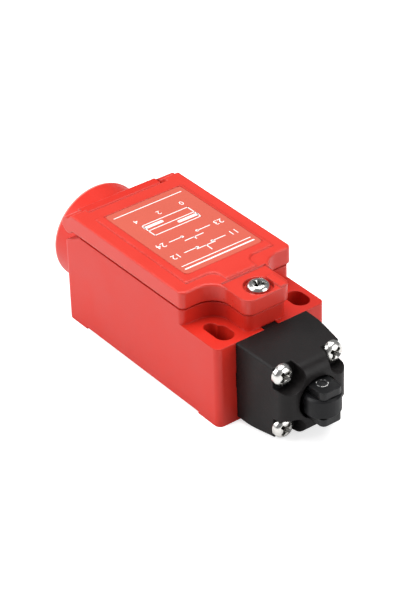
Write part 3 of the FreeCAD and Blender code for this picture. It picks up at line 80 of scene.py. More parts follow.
def moulded_group():
    """Moulded plastic or rubber: faint blotches of colour, a fine grain and softened edges."""
    group = start_group("moulded", [
        ("NodeSocketColor", "Colour", (1, 1, 1, 1)),
        ("NodeSocketFloat", "Blotch", 0.05),
        ("NodeSocketFloat", "Blotch Scale", 60.0),
        ("NodeSocketFloat", "Grain Scale", 2500.0),
        ("NodeSocketFloat", "Grain Depth", 0.00002),
        ("NodeSocketFloat", "Edge", 0.00018),
    ], [("NodeSocketColor", "Colour"), ("NodeSocketFloat", "Mask"), ("NodeSocketVector", "Normal")])
    link = group.links.new
    given = add_node(group, "NodeGroupInput")
    result = add_node(group, "NodeGroupOutput")
    place = add_node(group, "ShaderNodeTexCoord")
    blotch = add_node(group, "ShaderNodeTexNoise", (), [("Detail", 4.0), ("Roughness", 0.6)])
    link(place.outputs["Object"], blotch.inputs["Vector"])
    link(given.outputs["Blotch Scale"], blotch.inputs["Scale"])
    centred = add_node(group, "ShaderNodeMath", [("operation", "SUBTRACT")])
    centred.inputs[1].default_value = 0.5
    link(blotch.outputs["Fac"], centred.inputs[0])
    scaled = add_node(group, "ShaderNodeMath", [("operation", "MULTIPLY_ADD")])
    link(centred.outputs[0], scaled.inputs[0])
    link(given.outputs["Blotch"], scaled.inputs[1])
    scaled.inputs[2].default_value = 1.0
    toned = add_node(group, "ShaderNodeHueSaturation")
    link(given.outputs["Colour"], toned.inputs["Color"])
    link(scaled.outputs[0], toned.inputs["Value"])
    grain = add_node(group, "ShaderNodeTexNoise", (), [("Detail", 3.0), ("Roughness", 0.55)])
    link(place.outputs["Object"], grain.inputs["Vector"])
    link(given.outputs["Grain Scale"], grain.inputs["Scale"])
    edge = add_node(group, "ShaderNodeBevel", [("samples", 6)])
    link(given.outputs["Edge"], edge.inputs["Radius"])
    bump = add_node(group, "ShaderNodeBump", (), [("Strength", 1.0)])
    link(given.outputs["Grain Depth"], bump.inputs["Distance"])
    link(grain.outputs["Fac"], bump.inputs["Height"])
    link(edge.outputs["Normal"], bump.inputs["Normal"])
    link(toned.outputs["Color"], result.inputs["Colour"])
    link(blotch.outputs["Fac"], result.inputs["Mask"])
    link(bump.outputs["Normal"], result.inputs["Normal"])
    return group


MOULDED = moulded_group()


def surface(name, colour, rough, metal=0.0, rough_spread=0.08, shader=(), **look):
    """A material from the moulded group, with its roughness varied by the same blotches."""
    material = bpy.data.materials.new(name)
    material.use_nodes = True
    tree = material.node_tree
    tree.nodes.clear()
    base = add_node(tree, "ShaderNodeGroup", [("node_tree", MOULDED)])
    base.inputs["Colour"].default_value = (*colour, 1.0)
    for key, value in look.items():
        base.inputs[key.replace("_", " ").title()].default_value = value
    spread = add_node(tree, "ShaderNodeMapRange", (), [
        ("From Min", 0.3), ("From Max", 0.7),
        ("To Min", rough - rough_spread), ("To Max", rough + rough_spread)])
    principled = add_node(tree, "ShaderNodeBsdfPrincipled", (), [("Metallic", metal)])
    for key, value in shader:
        principled.inputs[key].default_value = value
    output = add_node(tree, "ShaderNodeOutputMaterial")
    tree.links.new(base.outputs["Colour"], principled.inputs["Base Color"])
    tree.links.new(base.outputs["Mask"], spread.inputs["Value"])
    tree.links.new(spread.outputs["Result"], principled.inputs["Roughness"])
    tree.links.new(base.outputs["Normal"], principled.inputs["Normal"])
    tree.links.new(principled.outputs["BSDF"], output.inputs["Surface"])
    return material


def away_from(tree, keep, centre):
    """How far each point lies from a line: keep drops the line's own axis, centre is a point on it."""
    place = add_node(tree, "ShaderNodeTexCoord")
    flat = add_node(tree, "ShaderNodeVectorMath", [("operation", "MULTIPLY")])
    flat.inputs[1].default_value = keep
    tree.links.new(place.outputs["Object"], flat.inputs[0])
    away = add_node(tree, "ShaderNodeVectorMath", [("operation", "DISTANCE")])
    away.inputs[1].default_value = centre
    tree.links.new(flat.outputs["Vector"], away.inputs[0])
    return away.outputs["Value"]


def both_true(tree, first, second):
    """The product of two masks."""
    product = add_node(tree, "ShaderNodeMath", [("operation", "MULTIPLY")])
    tree.links.new(first, product.inputs[0])
    tree.links.new(second, product.inputs[1])
    return product.outputs[0]


def tint(material, mask, colour):
    """Mixes another colour into a material's base colour where the mask is bright."""
    tree = material.node_tree
    principled = next(one for one in tree.nodes if one.type == "BSDF_PRINCIPLED")
    mixed = add_node(tree, "ShaderNodeMix", [("data_type", "RGBA")])
    mixed.inputs["B"].default_value = (*colour, 1.0)
    tree.links.new(mask, mixed.inputs["Factor"])
    tree.links.new(principled.inputs["Base Color"].links[0].from_socket, mixed.inputs["A"])
    tree.links.new(mixed.outputs["Result"], principled.inputs["Base Color"])


def paint(node, material):
    """Gives a carried-over node its material, through the slots that it already has."""
    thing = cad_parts[node]
    for slot in thing.material_slots:
        slot.material = material


housing_plastic = surface("housing_plastic", HOUSING_RED, rough=0.40,
                          shader=[("Specular IOR Level", 0.36)], blotch=0.12, blotch_scale=45.0,
                          grain_scale=2600.0, grain_depth=0.000014, edge=0.00028)
tree = housing_plastic.node_tree
housing_place = add_node(tree, "ShaderNodeTexCoord")
along = add_node(tree, "ShaderNodeSeparateXYZ")
tree.links.new(housing_place.outputs["Object"], along.inputs["Vector"])
# Painted highlight on the boss's end rim: paler towards the outer end, outside the bore.
rim_highlight_fade = add_node(tree, "ShaderNodeMapRange", (), [
    ("From Min", RIM_INNER), ("From Max", RIM_OUTER), ("To Min", 0.0), ("To Max", RIM_HIGHLIGHT_STRENGTH)])
tree.links.new(along.outputs["X"], rim_highlight_fade.inputs["Value"])
outside = add_node(tree, "ShaderNodeMath", [("operation", "GREATER_THAN")])
outside.inputs[1].default_value = RIM_RADIUS
tree.links.new(away_from(tree, (0.0, 1.0, 1.0), RIM_MIDDLE), outside.inputs[0])
tint(housing_plastic, both_true(tree, rim_highlight_fade.outputs["Result"], outside.outputs[0]), RIM_PAINTED_HIGHLIGHT)
paint("housing", housing_plastic)

# Thread of the cable entry: an M20 internal thread with a pitch of 1.5 mm, moulded into the boss and
# the rear wall. It stands as a single fine ridge on the wall of the bore.
ENTRY_HEIGHT = 13.5 * MM
ENTRY_RADIUS = 9.22 * MM
THREAD_PITCH = 1.5 * MM
THREAD_RISE = 0.32 * MM
THREAD_START = -60.4 * MM
THREAD_TURNS = 10
THREAD_STEPS = 48


def deselect():
    """Leaves edit mode and clears the selection, before a piece is added or worked on."""
    if bpy.context.object and bpy.context.object.mode != "OBJECT":
        bpy.ops.object.mode_set(mode="OBJECT")
    bpy.ops.object.select_all(action="DESELECT")


def pick(piece, wanted):
    """Opens the piece for editing with only those vertices selected that pass the test."""
    deselect()
    piece.select_set(True)
    bpy.context.view_layer.objects.active = piece
    bpy.ops.object.mode_set(mode="EDIT")
    bpy.ops.mesh.select_mode(type="VERT")
    bpy.ops.mesh.select_all(action="DESELECT")
    bpy.ops.object.mode_set(mode="OBJECT")
    for point in piece.data.vertices:
        point.select = wanted(point.co)
    bpy.ops.object.mode_set(mode="EDIT")


def wind(piece, height, pitch, turns, steps):
    """Winds a flat outline round the line along X at that height, which leaves a helical mesh."""
    bpy.ops.object.transform_apply(location=True, rotation=True, scale=True)
    bpy.context.scene.cursor.location = (0, 0, height)
    bpy.ops.object.origin_set(type="ORIGIN_CURSOR")
    winding = piece.modifiers.new("winding", "SCREW")
    winding.axis = "X"
    winding.angle = math.radians(360)
    winding.screw_offset = pitch
    winding.iterations = turns
    winding.steps = steps
    winding.render_steps = steps
    bpy.ops.object.modifier_apply(modifier="winding")
    return piece


def close_up(piece):
    """Merges the seams of a wound piece, closes its two ends and turns its faces outwards."""
    same_place = 0.001 * MM
    deselect()
    piece.select_set(True)
    bpy.context.view_layer.objects.active = piece
    bpy.ops.object.mode_set(mode="EDIT")
    bpy.ops.mesh.select_all(action="SELECT")
    bpy.ops.mesh.remove_doubles(threshold=same_place)
    bpy.ops.mesh.fill_holes(sides=0)
    bpy.ops.mesh.select_all(action="SELECT")
    bpy.ops.mesh.normals_make_consistent(inside=False)
    bpy.ops.object.mode_set(mode="OBJECT")
    return piece


def wind_ridge(start, height, radius, pitch, rise, turns, steps, outward):
    """The ridge of a thread, wound round a line along X: it stands out from the radius or inwards."""
    foot_share = 0.75
    tip_share = 0.25
    side = 1 if outward else -1
    foot = (start, 0, height + radius)
    deselect()
    bpy.ops.mesh.primitive_plane_add(size=1.0, location=foot)
    ridge = bpy.context.object
    bpy.ops.object.mode_set(mode="EDIT")
    bpy.ops.mesh.select_all(action="SELECT")
    bpy.ops.transform.rotate(value=math.radians(90), orient_axis="X", center_override=foot)
    bpy.ops.transform.resize(value=(pitch * foot_share, 1.0, rise), center_override=foot)
    bpy.ops.transform.translate(value=(0, 0, side * rise / 2))
    pick(ridge, lambda place: place.z * side > rise / 2)
    bpy.ops.transform.resize(value=(tip_share, 1.0, 1.0), center_override=foot)
    bpy.ops.object.mode_set(mode="OBJECT")
    return close_up(wind(ridge, height, pitch, turns, steps))


def settle(piece, name, material, smooth=None):
    """Puts a finished piece's place into its mesh and gives it its name and material."""
    deselect()
    piece.select_set(True)
    bpy.context.view_layer.objects.active = piece
    bpy.ops.object.transform_apply(location=True, rotation=True, scale=True)
    if smooth:
        bpy.ops.object.shade_smooth_by_angle(angle=math.radians(smooth))
    piece.name = name
    piece.data.name = name
    piece.data.materials.clear()
    piece.data.materials.append(material)
    return piece


thread = wind_ridge(THREAD_START, ENTRY_HEIGHT, ENTRY_RADIUS, THREAD_PITCH, THREAD_RISE,
                    THREAD_TURNS, THREAD_STEPS, outward=False)
thread_plastic = surface("thread_plastic", HOUSING_RED, rough=0.42, blotch=0.08, blotch_scale=90.0,
                         grain_scale=3000.0, grain_depth=0.000008, edge=0.00008)
settle(thread, "entry_thread", thread_plastic, smooth=35)
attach(thread, "body")

# Cover: the hinged lid over the wires, moulded in the same red nylon with a smoother and glossier
# skin. Its border is a little brighter than the body, and all its edges are softly rounded.
COVER_RED = (0.58, 0.033, 0.020)
cover_plastic = surface("cover_plastic", COVER_RED, rough=0.34,
                        shader=[("Specular IOR Level", 0.42)], blotch=0.08, blotch_scale=55.0,
                        grain_scale=2400.0, grain_depth=0.000010, edge=0.00055)
paint("cover", cover_plastic)

# Label field: the sunk place on the cover, with a matt skin that looks paler than the gloss round
# it. It is a thin plate with rounded corners that fills the sunk place.
LABEL_LOW = Vector((-42.8, -10.2, 29.63)) * MM
LABEL_HIGH = Vector((-11.8, 11.3, 29.76)) * MM
LABEL_GAP = 0.08 * MM
LABEL_CORNER = 1.2 * MM
LABEL_RED = (0.505, 0.080, 0.047)
deselect()
label_middle = (LABEL_LOW + LABEL_HIGH) / 2
bpy.ops.mesh.primitive_plane_add(size=1.0, location=(label_middle.x, label_middle.y, LABEL_LOW.z))
label = bpy.context.object
label.scale = (LABEL_HIGH.x - LABEL_LOW.x - 2 * LABEL_GAP,
               LABEL_HIGH.y - LABEL_LOW.y - 2 * LABEL_GAP, 1.0)
bpy.ops.object.transform_apply(location=True, rotation=True, scale=True)
bpy.ops.object.mode_set(mode="EDIT")
bpy.ops.mesh.select_all(action="SELECT")
bpy.ops.mesh.bevel(offset=LABEL_CORNER, segments=6, affect="VERTICES")
bpy.ops.mesh.select_all(action="SELECT")
bpy.ops.mesh.extrude_region_move(TRANSFORM_OT_translate={"value": (0, 0, LABEL_HIGH.z - LABEL_LOW.z)})
bpy.ops.object.mode_set(mode="OBJECT")
label_skin = surface("label_skin", LABEL_RED, rough=0.60, blotch=0.14, blotch_scale=60.0,
                     grain_scale=1800.0, grain_depth=0.00002, edge=0.0001)
settle(label, "label_field", label_skin)
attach(label, "lid")

# Print on the label field: pale ink, pressed on in fine lines. It shows plain terminal numbers, two
# contact signs and a diagram of the plunger's stroke.
INK = (0.86, 0.80, 0.78)
INK_LEVEL = LABEL_HIGH.z - 0.01 * MM
INK_RISE = 0.035 * MM
INK_MIDDLE = 0.55
LINE = 0.27 * MM
CORNER_SHARE = 0.3
ink = []


def join(pieces):
    """Makes one piece of several."""
    deselect()
    for piece in pieces:
        piece.select_set(True)
    bpy.context.view_layer.objects.active = pieces[0]
    if len(pieces) > 1:
        bpy.ops.object.join()
    return bpy.context.object


def ink_shape(outline_piece):
    """Gives a flat shape the thickness of the ink."""
    bpy.ops.object.transform_apply(location=True, rotation=True, scale=True)
    bpy.ops.object.mode_set(mode="EDIT")
    bpy.ops.mesh.select_all(action="SELECT")
    bpy.ops.mesh.extrude_region_move(TRANSFORM_OT_translate={"value": (0, 0, INK_RISE)})
    bpy.ops.object.mode_set(mode="OBJECT")
    ink.append(outline_piece)


def ink_line(start, end, width=LINE):
    """A straight line with rounded ends; places are in millimetres, y from the label's middle."""
    first = Vector((start[0] * MM, (start[1] + INK_MIDDLE) * MM, INK_LEVEL))
    last = Vector((end[0] * MM, (end[1] + INK_MIDDLE) * MM, INK_LEVEL))
    run = last - first
    deselect()
    bpy.ops.mesh.primitive_plane_add(size=1.0, location=(first + last) / 2)
    bar = bpy.context.object
    bar.rotation_euler = (0, 0, math.atan2(run.y, run.x))
    bar.scale = (run.length + width, width, 1.0)
    bpy.ops.object.transform_apply(location=True, rotation=True, scale=True)
    bpy.ops.object.mode_set(mode="EDIT")
    bpy.ops.mesh.select_all(action="SELECT")
    bpy.ops.mesh.bevel(offset=width * CORNER_SHARE, segments=2, affect="VERTICES")
    bpy.ops.object.mode_set(mode="OBJECT")
    ink_shape(bar)


def ink_dot(place, radius):
    """A round dot; its place and radius are in millimetres."""
    deselect()
    bpy.ops.mesh.primitive_circle_add(vertices=20, radius=radius * MM, fill_type="NGON",
                                      location=(place[0] * MM, (place[1] + INK_MIDDLE) * MM, INK_LEVEL))
    ink_shape(bpy.context.object)


def ink_number(text, place, height):
    """A plain number that reads from the cable entry towards the roller."""
    deselect()
    bpy.ops.object.text_add(location=(place[0] * MM, (place[1] + INK_MIDDLE) * MM, INK_LEVEL),
                            rotation=(0, 0, math.radians(-90)))
    words = bpy.context.object
    words.data.body = text
    words.data.size = height * MM
    words.data.extrude = INK_RISE / 2
    words.data.align_x = "CENTER"
    words.data.align_y = "CENTER"
    bpy.ops.object.convert(target="MESH")
    ink.append(bpy.context.object)


# Frame lines near the front and the rear of the field.
FRAME_HALF = 9.4
for line_x, line_width in ((-13.7, 0.45 * MM), (-15.0, LINE), (-40.6, LINE)):
    ink_line((line_x, -FRAME_HALF), (line_x, FRAME_HALF), line_width)
# Two contact signs: the one nearer the roller opens with the stroke, and the other closes.
SIGN_NUMBER_SIDE = 8.0
SIGN_NUMBER_HEIGHT = 2.5
SIGN_OUTER = 5.6
SIGN_INNER = 2.1
SIGN_DOT = 0.42
SIGN_BRIDGE_HALF = 2.5
SIGN_STEM = 2.6
for sign_x, left, right, bridge_rise in ((-19.2, "11", "12", 0.55), (-24.8, "23", "24", 1.7)):
    ink_number(left, (sign_x, SIGN_NUMBER_SIDE), SIGN_NUMBER_HEIGHT)
    ink_number(right, (sign_x, -SIGN_NUMBER_SIDE), SIGN_NUMBER_HEIGHT)
    ink_line((sign_x, SIGN_OUTER), (sign_x, SIGN_INNER))
    ink_line((sign_x, -SIGN_INNER), (sign_x, -SIGN_OUTER))
    ink_dot((sign_x, SIGN_INNER), SIGN_DOT)
    ink_dot((sign_x, -SIGN_INNER), SIGN_DOT)
    bridge_x = sign_x + bridge_rise
    ink_line((bridge_x, -SIGN_BRIDGE_HALF), (bridge_x, SIGN_BRIDGE_HALF))
    ink_line((bridge_x, 0), (sign_x + SIGN_STEM, 0))
# Stroke diagram: the bars show over which part of the stroke each contact is closed.
DIAGRAM_FRONT = -29.1
DIAGRAM_REAR = -34.15
DIAGRAM_HALF = 6.4
DIAGRAM_BAR = 0.95 * MM
DIAGRAM_LINE_GAP = 1.15
DIAGRAM_NUMBERS = -36.5
DIAGRAM_NUMBER_HEIGHT = 2.1
for bar_x, bar_from, bar_to in ((-30.4, 6.2, 1.4), (-33.0, -1.8, -6.2)):
    ink_line((bar_x, bar_from), (bar_x, bar_to), DIAGRAM_BAR)
    ink_line((bar_x - DIAGRAM_LINE_GAP, DIAGRAM_HALF), (bar_x - DIAGRAM_LINE_GAP, -DIAGRAM_HALF))
ink_line((DIAGRAM_FRONT, DIAGRAM_HALF), (DIAGRAM_FRONT, -DIAGRAM_HALF))
ink_line((DIAGRAM_FRONT, DIAGRAM_HALF), (DIAGRAM_REAR, DIAGRAM_HALF))
ink_line((DIAGRAM_FRONT, -DIAGRAM_HALF), (DIAGRAM_REAR, -DIAGRAM_HALF))
for number, number_y in (("0", DIAGRAM_HALF), ("2", 0.0), ("4", -DIAGRAM_HALF)):
    ink_number(number, (DIAGRAM_NUMBERS, number_y), DIAGRAM_NUMBER_HEIGHT)
print_ink = surface("print_ink", INK, rough=0.5, blotch=0.12, blotch_scale=300.0,
                    grain_scale=4000.0, grain_depth=0.000006, edge=0.00002)
label_print = settle(join(ink), "label_print", print_ink)
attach(label_print, "lid")

# Gaskets and the plunger's seal: moulded black nitrile rubber, dull and slightly dusty. They are
# pressed between the cover, the housing and the head, and round the plunger.
RUBBER = (0.016, 0.016, 0.016)
rubber = surface("seal_rubber", RUBBER, rough=0.62, blotch=0.25, blotch_scale=120.0,
                 grain_scale=2200.0, grain_depth=0.00002, edge=0.0001)
for node in ("cover_gasket", "head_gasket", "plunger_seal"):
    paint(node, rubber)

# Operating head: the black block that guides the plunger, moulded in glass-filled nylon with a fine
# texture and a satin sheen. Four screws hold it on the front of the housing.
HEAD_BLACK = (0.0078, 0.0066, 0.0066)
head_plastic = surface("head_plastic", HEAD_BLACK, rough=0.46,
                       shader=[("Specular IOR Level", 0.18)], blotch=0.55, blotch_scale=120.0,
                       grain_scale=2100.0, grain_depth=0.00003, edge=0.0003)
paint("operating_head", head_plastic)

# Plunger: a fork of smooth black acetal that slides in the head and carries the roller. It is
# darker and a little shinier than the head.
PLUNGER_BLACK = (0.0060, 0.0060, 0.0065)
plunger_plastic = surface("plunger_plastic", PLUNGER_BLACK, rough=0.36,
                          shader=[("Specular IOR Level", 0.30)], blotch=0.3, blotch_scale=90.0,
                          grain_scale=2600.0, grain_depth=0.000012, edge=0.0003)
paint("roller_plunger", plunger_plastic)

# Roller: a small wheel of black acetal, worn slightly dull, that turns between the arms of the
# plunger's fork.
ROLLER_GREY = (0.0062, 0.0062, 0.0070)
roller_plastic = surface("roller_plastic", ROLLER_GREY, rough=0.40,
                         shader=[("Specular IOR Level", 0.20)], blotch=0.3, blotch_scale=140.0,
                         grain_scale=2600.0, grain_depth=0.000012, edge=0.00025)
paint("roller", roller_plastic)

# Axle: a dark steel pin, pressed through the fork. The edge of its end has a painted highlight, a thin
# broken bright ring, which is found from the distance to the pin's own line.
AXLE_GREY = (0.014, 0.014, 0.015)
AXLE_PLACE = (22.2 * MM, 0.0, 0.0)
RING_RADIUS = 1.29 * MM
RING_HALF = 0.075 * MM
# Painted highlight for the bright ring on the axle's end.
RING_PAINTED_HIGHLIGHT = (0.85, 0.84, 0.82)
axle_steel = surface("axle_steel", AXLE_GREY, rough=0.36, blotch=0.2, blotch_scale=200.0,
                     grain_scale=3600.0, grain_depth=0.000006, edge=0.0001)
tree = axle_steel.node_tree
# Painted highlight: a thin bright ring at the edge of the pin's end, broken by specks.
on_ring = add_node(tree, "ShaderNodeMath", [("operation", "COMPARE")])
on_ring.inputs[1].default_value = RING_RADIUS
on_ring.inputs[2].default_value = RING_HALF
tree.links.new(away_from(tree, (1.0, 1.0, 0.0), AXLE_PLACE), on_ring.inputs[0])
axle_place = add_node(tree, "ShaderNodeTexCoord")
specks = add_node(tree, "ShaderNodeTexNoise", (), [("Scale", 1500.0), ("Detail", 2.0)])
tree.links.new(axle_place.outputs["Object"], specks.inputs["Vector"])
broken = add_node(tree, "ShaderNodeMapRange", (), [("From Min", 0.46), ("From Max", 0.60)])
tree.links.new(specks.outputs["Fac"], broken.inputs["Value"])
tint(axle_steel, both_true(tree, on_ring.outputs[0], broken.outputs["Result"]), RING_PAINTED_HIGHLIGHT)
paint("roller_axle", axle_steel)

# Head screws: four M2.5 pan head screws of zinc-plated steel hold the head, each turned a little
# differently. Each has a rounded head, a tapered cross and a rolled thread.
ZINC = (0.72, 0.71, 0.68)
# Painted shade for the deep cross in the screws' heads.
CROSS_PAINTED_SHADE = (0.020, 0.017, 0.014)
HEAD_SCREW_SEAT = 16.6 * MM
HEAD_SCREW_OFFSET = 6.9 * MM
HEAD_SCREW_LINE = 10.7 * MM
HEAD_SCREW_HEAD = 2.5 * MM
HEAD_SCREW_HEIGHT = 1.88 * MM
HEAD_SCREW_RIM = 1.35 * MM
HEAD_SCREW_SHANK = 1.24 * MM
HEAD_SCREW_LENGTH = 14.1 * MM
HEAD_SCREW_PITCH = 0.45 * MM
HEAD_SCREW_CROSS = 1.72 * MM


def plated(name, rough):
    """Bright zinc plate with painted shade down in the cross, darker with the depth kept on the screw's
    mesh.
    """
    material = surface(name, ZINC, rough=rough, metal=1.0, rough_spread=0.06, blotch=0.12,
                       blotch_scale=260.0, grain_scale=5200.0, grain_depth=0.000004, edge=0.00008)
    depth = add_node(material.node_tree, "ShaderNodeAttribute", [("attribute_name", "recess")])
    # Painted shade in the cross: the zinc turns dark where the recess is deep.
    tint(material, depth.outputs["Fac"], CROSS_PAINTED_SHADE)
    return material


def cut(piece, tool):
    """Takes the tool's shape out of the piece and removes the tool."""
    deselect()
    piece.select_set(True)
    bpy.context.view_layer.objects.active = piece
    change = piece.modifiers.new("cut", "BOOLEAN")
    change.operation = "DIFFERENCE"
    change.solver = "EXACT"
    change.object = tool
    bpy.ops.object.modifier_apply(modifier="cut")
    bpy.data.objects.remove(tool, do_unlink=True)


def head_level(away, head, height, rim):
    """How high the rounded top of a screw's head is at that distance from the screw's line."""
    beyond = max(0.0, away - (head - rim))
    return height - rim + math.sqrt(max(0.0, rim * rim - beyond * beyond))


def mark_recess(screw, head, height, rim, cross_deep):
    """Keeps on the mesh how deep each point of the cross lies under the top of the head, as the mask of
    the painted shade in the cross.
    """
    gain = 2.6
    inside = 0.85 * head
    above_seat = 0.1 * MM
    depth = screw.data.attributes.new("recess", "FLOAT", "POINT")
    for point in screw.data.vertices:
        away = math.hypot(point.co.y, point.co.z)
        if away < inside and point.co.x > above_seat:
            under = (head_level(away, head, height, rim) - point.co.x) / cross_deep
            depth.data[point.index].value = min(1.0, max(0.0, under * gain))


def pan_screw(head, height, rim, shank, length, pitch, reach):
    """A pan head screw along X, seat at the origin: rounded head, tapered cross and wound thread."""
    thread_rise = 0.42 * pitch
    thread_steps = 24
    core_radius = shank - thread_rise
    cross_wide = 0.52 * reach
    cross_deep = 0.78 * height
    cross_over = 1.04
    cross_taper = 0.5
    cone_low, cone_high, cone_over = 0.3, 1.02, 1.06
    core_end = 0.15 * height
    along = (0, math.radians(90), 0)
    cross_middle = height - cross_deep / 2
    deselect()
    bpy.ops.mesh.primitive_cylinder_add(vertices=72, radius=head, depth=height,
                                        location=(height / 2, 0, 0), rotation=along)
    screw = bpy.context.object
    bpy.ops.object.transform_apply(location=True, rotation=True, scale=True)
    pick(screw, lambda place: place.x > height / 2)
    bpy.ops.mesh.bevel(offset=rim, segments=10, affect="EDGES")
    # The cross: two wings that narrow towards the bottom, and a cone in the middle.
    for turn in (0, 90):
        deselect()
        bpy.ops.mesh.primitive_cube_add(size=1.0, location=(cross_middle, 0, 0),
                                        rotation=(math.radians(turn), 0, 0))
        wing = bpy.context.object
        wing.scale = (cross_deep * cross_over, 2 * reach, cross_wide)
        bpy.ops.object.transform_apply(location=True, rotation=True, scale=True)
        pick(wing, lambda place: place.x < cross_middle)
        bpy.ops.transform.resize(value=(1.0, cross_taper, cross_taper), center_override=(0, 0, 0))
        bpy.ops.object.mode_set(mode="OBJECT")
        cut(screw, wing)
    deselect()
    bpy.ops.mesh.primitive_cone_add(vertices=32, radius1=cross_wide * cone_low,
                                    radius2=cross_wide * cone_high, depth=cross_deep * cone_over,
                                    location=(cross_middle, 0, 0), rotation=along)
    middle = bpy.context.object
    bpy.ops.object.transform_apply(location=True, rotation=True, scale=True)
    cut(screw, middle)
    mark_recess(screw, head, height, rim, cross_deep)
    # The shank: a core with a bevelled tip, and the thread's ridge round it.
    deselect()
    bpy.ops.mesh.primitive_cylinder_add(vertices=32, radius=core_radius, depth=length + core_end,
                                        location=((core_end - length) / 2, 0, 0), rotation=along)
    core = bpy.context.object
    bpy.ops.object.transform_apply(location=True, rotation=True, scale=True)
    pick(core, lambda place: place.x < -length / 2)
    bpy.ops.mesh.bevel(offset=thread_rise, segments=1, affect="EDGES")
    turns = int(length / pitch) - 2
    ridge = wind_ridge(pitch - length, 0, core_radius, pitch, thread_rise, turns, thread_steps,
                       outward=True)
    return join([screw, core, ridge])


master = pan_screw(HEAD_SCREW_HEAD, HEAD_SCREW_HEIGHT, HEAD_SCREW_RIM, HEAD_SCREW_SHANK,
                   HEAD_SCREW_LENGTH, HEAD_SCREW_PITCH, HEAD_SCREW_CROSS)
placed = []
# Side, height and turn of each screw, seen from the plunger's line; the turn is in degrees.
for across, up, turned in ((-1, 1, 38), (1, 1, 50), (-1, -1, 47), (1, -1, 18)):
    deselect()
    master.select_set(True)
    bpy.context.view_layer.objects.active = master
    bpy.ops.object.duplicate()
    single = bpy.context.object
    single.rotation_euler = (math.radians(turned), 0, 0)
    single.location = (HEAD_SCREW_SEAT, across * HEAD_SCREW_OFFSET,
                       HEAD_SCREW_LINE + up * HEAD_SCREW_OFFSET)
    placed.append(single)
bpy.data.objects.remove(master, do_unlink=True)
head_screws = settle(join(placed), "pan_screws", plated("head_screw_steel", rough=0.24), smooth=32)
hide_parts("head_screws")
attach(head_screws, "body")

# Cover screw: one M3 pan head screw of the same plated steel closes the cover at its tongue. A ring
# keeps it in the cover when it is out of its hole.
COVER_SCREW_PLACE = (0.6 * MM, 0.0, 28.0 * MM)
COVER_SCREW_HEAD = 2.65 * MM
COVER_SCREW_HEIGHT = 1.88 * MM
COVER_SCREW_RIM = 1.35 * MM
COVER_SCREW_SHANK = 1.49 * MM
COVER_SCREW_LENGTH = 6.3 * MM
COVER_SCREW_PITCH = 0.5 * MM
COVER_SCREW_CROSS = 1.8 * MM
COVER_SCREW_TURNED = 32
cover_screw = pan_screw(COVER_SCREW_HEAD, COVER_SCREW_HEIGHT, COVER_SCREW_RIM, COVER_SCREW_SHANK,
                        COVER_SCREW_LENGTH, COVER_SCREW_PITCH, COVER_SCREW_CROSS)
cover_screw.rotation_euler = (math.radians(COVER_SCREW_TURNED), math.radians(-90), 0)
cover_screw.location = COVER_SCREW_PLACE
settle(cover_screw, "pan_screw_cover", plated("cover_screw_steel", rough=0.24), smooth=32)
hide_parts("cover_screw")
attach(cover_screw, "lid")

# Screws inside: plated steel, a little duller than the outer ones. Four clamp the wires, and one
# holds the contact block in the housing.
PLATED = (0.74, 0.73, 0.70)
inner_screw_steel = surface("inner_screw_steel", PLATED, rough=0.27, metal=1.0, rough_spread=0.07,
                            blotch=0.12, blotch_scale=240.0, grain_scale=5200.0, grain_depth=0.000004,
                            edge=0.0001)
paint("terminal_screws", inner_screw_steel)
paint("block_screw", inner_screw_steel)

# Return spring: wound from drawn steel wire with its end turns closed. It pushes the plunger out of
# the head and gets shorter as the plunger goes in.
SPRING_STEEL = (0.55, 0.55, 0.55)
SPRING_LOW = 6.2 * MM
SPRING_LENGTH = 9.4 * MM
SPRING_LINE = 10.7 * MM
SPRING_RADIUS = 3.28 * MM
SPRING_WIRE = 0.31 * MM
SPRING_CLOSED_GAP = 2.1
SPRING_OPEN_TURNS = 4
SPRING_STEPS = 40
spring_steel = surface("spring_steel", SPRING_STEEL, rough=0.30, metal=1.0, blotch=0.15,
                       blotch_scale=400.0, grain_scale=6000.0, grain_depth=0.000003, edge=0.00005)
closed_pitch = SPRING_CLOSED_GAP * SPRING_WIRE
open_pitch = (SPRING_LENGTH - 2 * SPRING_WIRE - 2 * closed_pitch) / SPRING_OPEN_TURNS
coils = []
coil_start = SPRING_LOW + SPRING_WIRE
for pitch, turns in ((closed_pitch, 1), (open_pitch, SPRING_OPEN_TURNS), (closed_pitch, 1)):
    deselect()
    bpy.ops.mesh.primitive_circle_add(vertices=12, radius=SPRING_WIRE,
                                      location=(coil_start, 0, SPRING_LINE + SPRING_RADIUS),
                                      rotation=(math.radians(90), 0, 0))
    coils.append(wind(bpy.context.object, SPRING_LINE, pitch, turns, SPRING_STEPS))
    coil_start += pitch * turns
coiled_spring = settle(close_up(join(coils)), "coiled_spring", spring_steel, smooth=60)
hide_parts("return_spring")
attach(coiled_spring, "body")
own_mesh(coiled_spring)

# Contact springs: small springs of the same drawn wire in the contact slider, one under each
# bridge, which press the contacts together.
paint("contact_springs", spring_steel)

# Spring plate and terminal clamps: stamped from plated steel sheet. The plate carries the return
# spring, and the clamps lie under the terminal screws.
STAMPED_GREY = (0.66, 0.66, 0.65)
stamped_steel = surface("stamped_steel", STAMPED_GREY, rough=0.33, metal=1.0, blotch=0.15,
                        blotch_scale=180.0, grain_scale=4200.0, grain_depth=0.000005, edge=0.00008)
paint("spring_plate", stamped_steel)
paint("terminal_clamps", stamped_steel)

# Push rod, contact slider and screw keeper: turned and moulded from natural white acetal, which
# slides well on the nylon round it.
ACETAL = (0.72, 0.70, 0.64)
acetal = surface("white_acetal", ACETAL, rough=0.40, blotch=0.05, blotch_scale=100.0,
                 grain_scale=2600.0, grain_depth=0.00001, edge=0.00012)
for node in ("push_rod", "contact_slider", "screw_keeper"):
    paint(node, acetal)

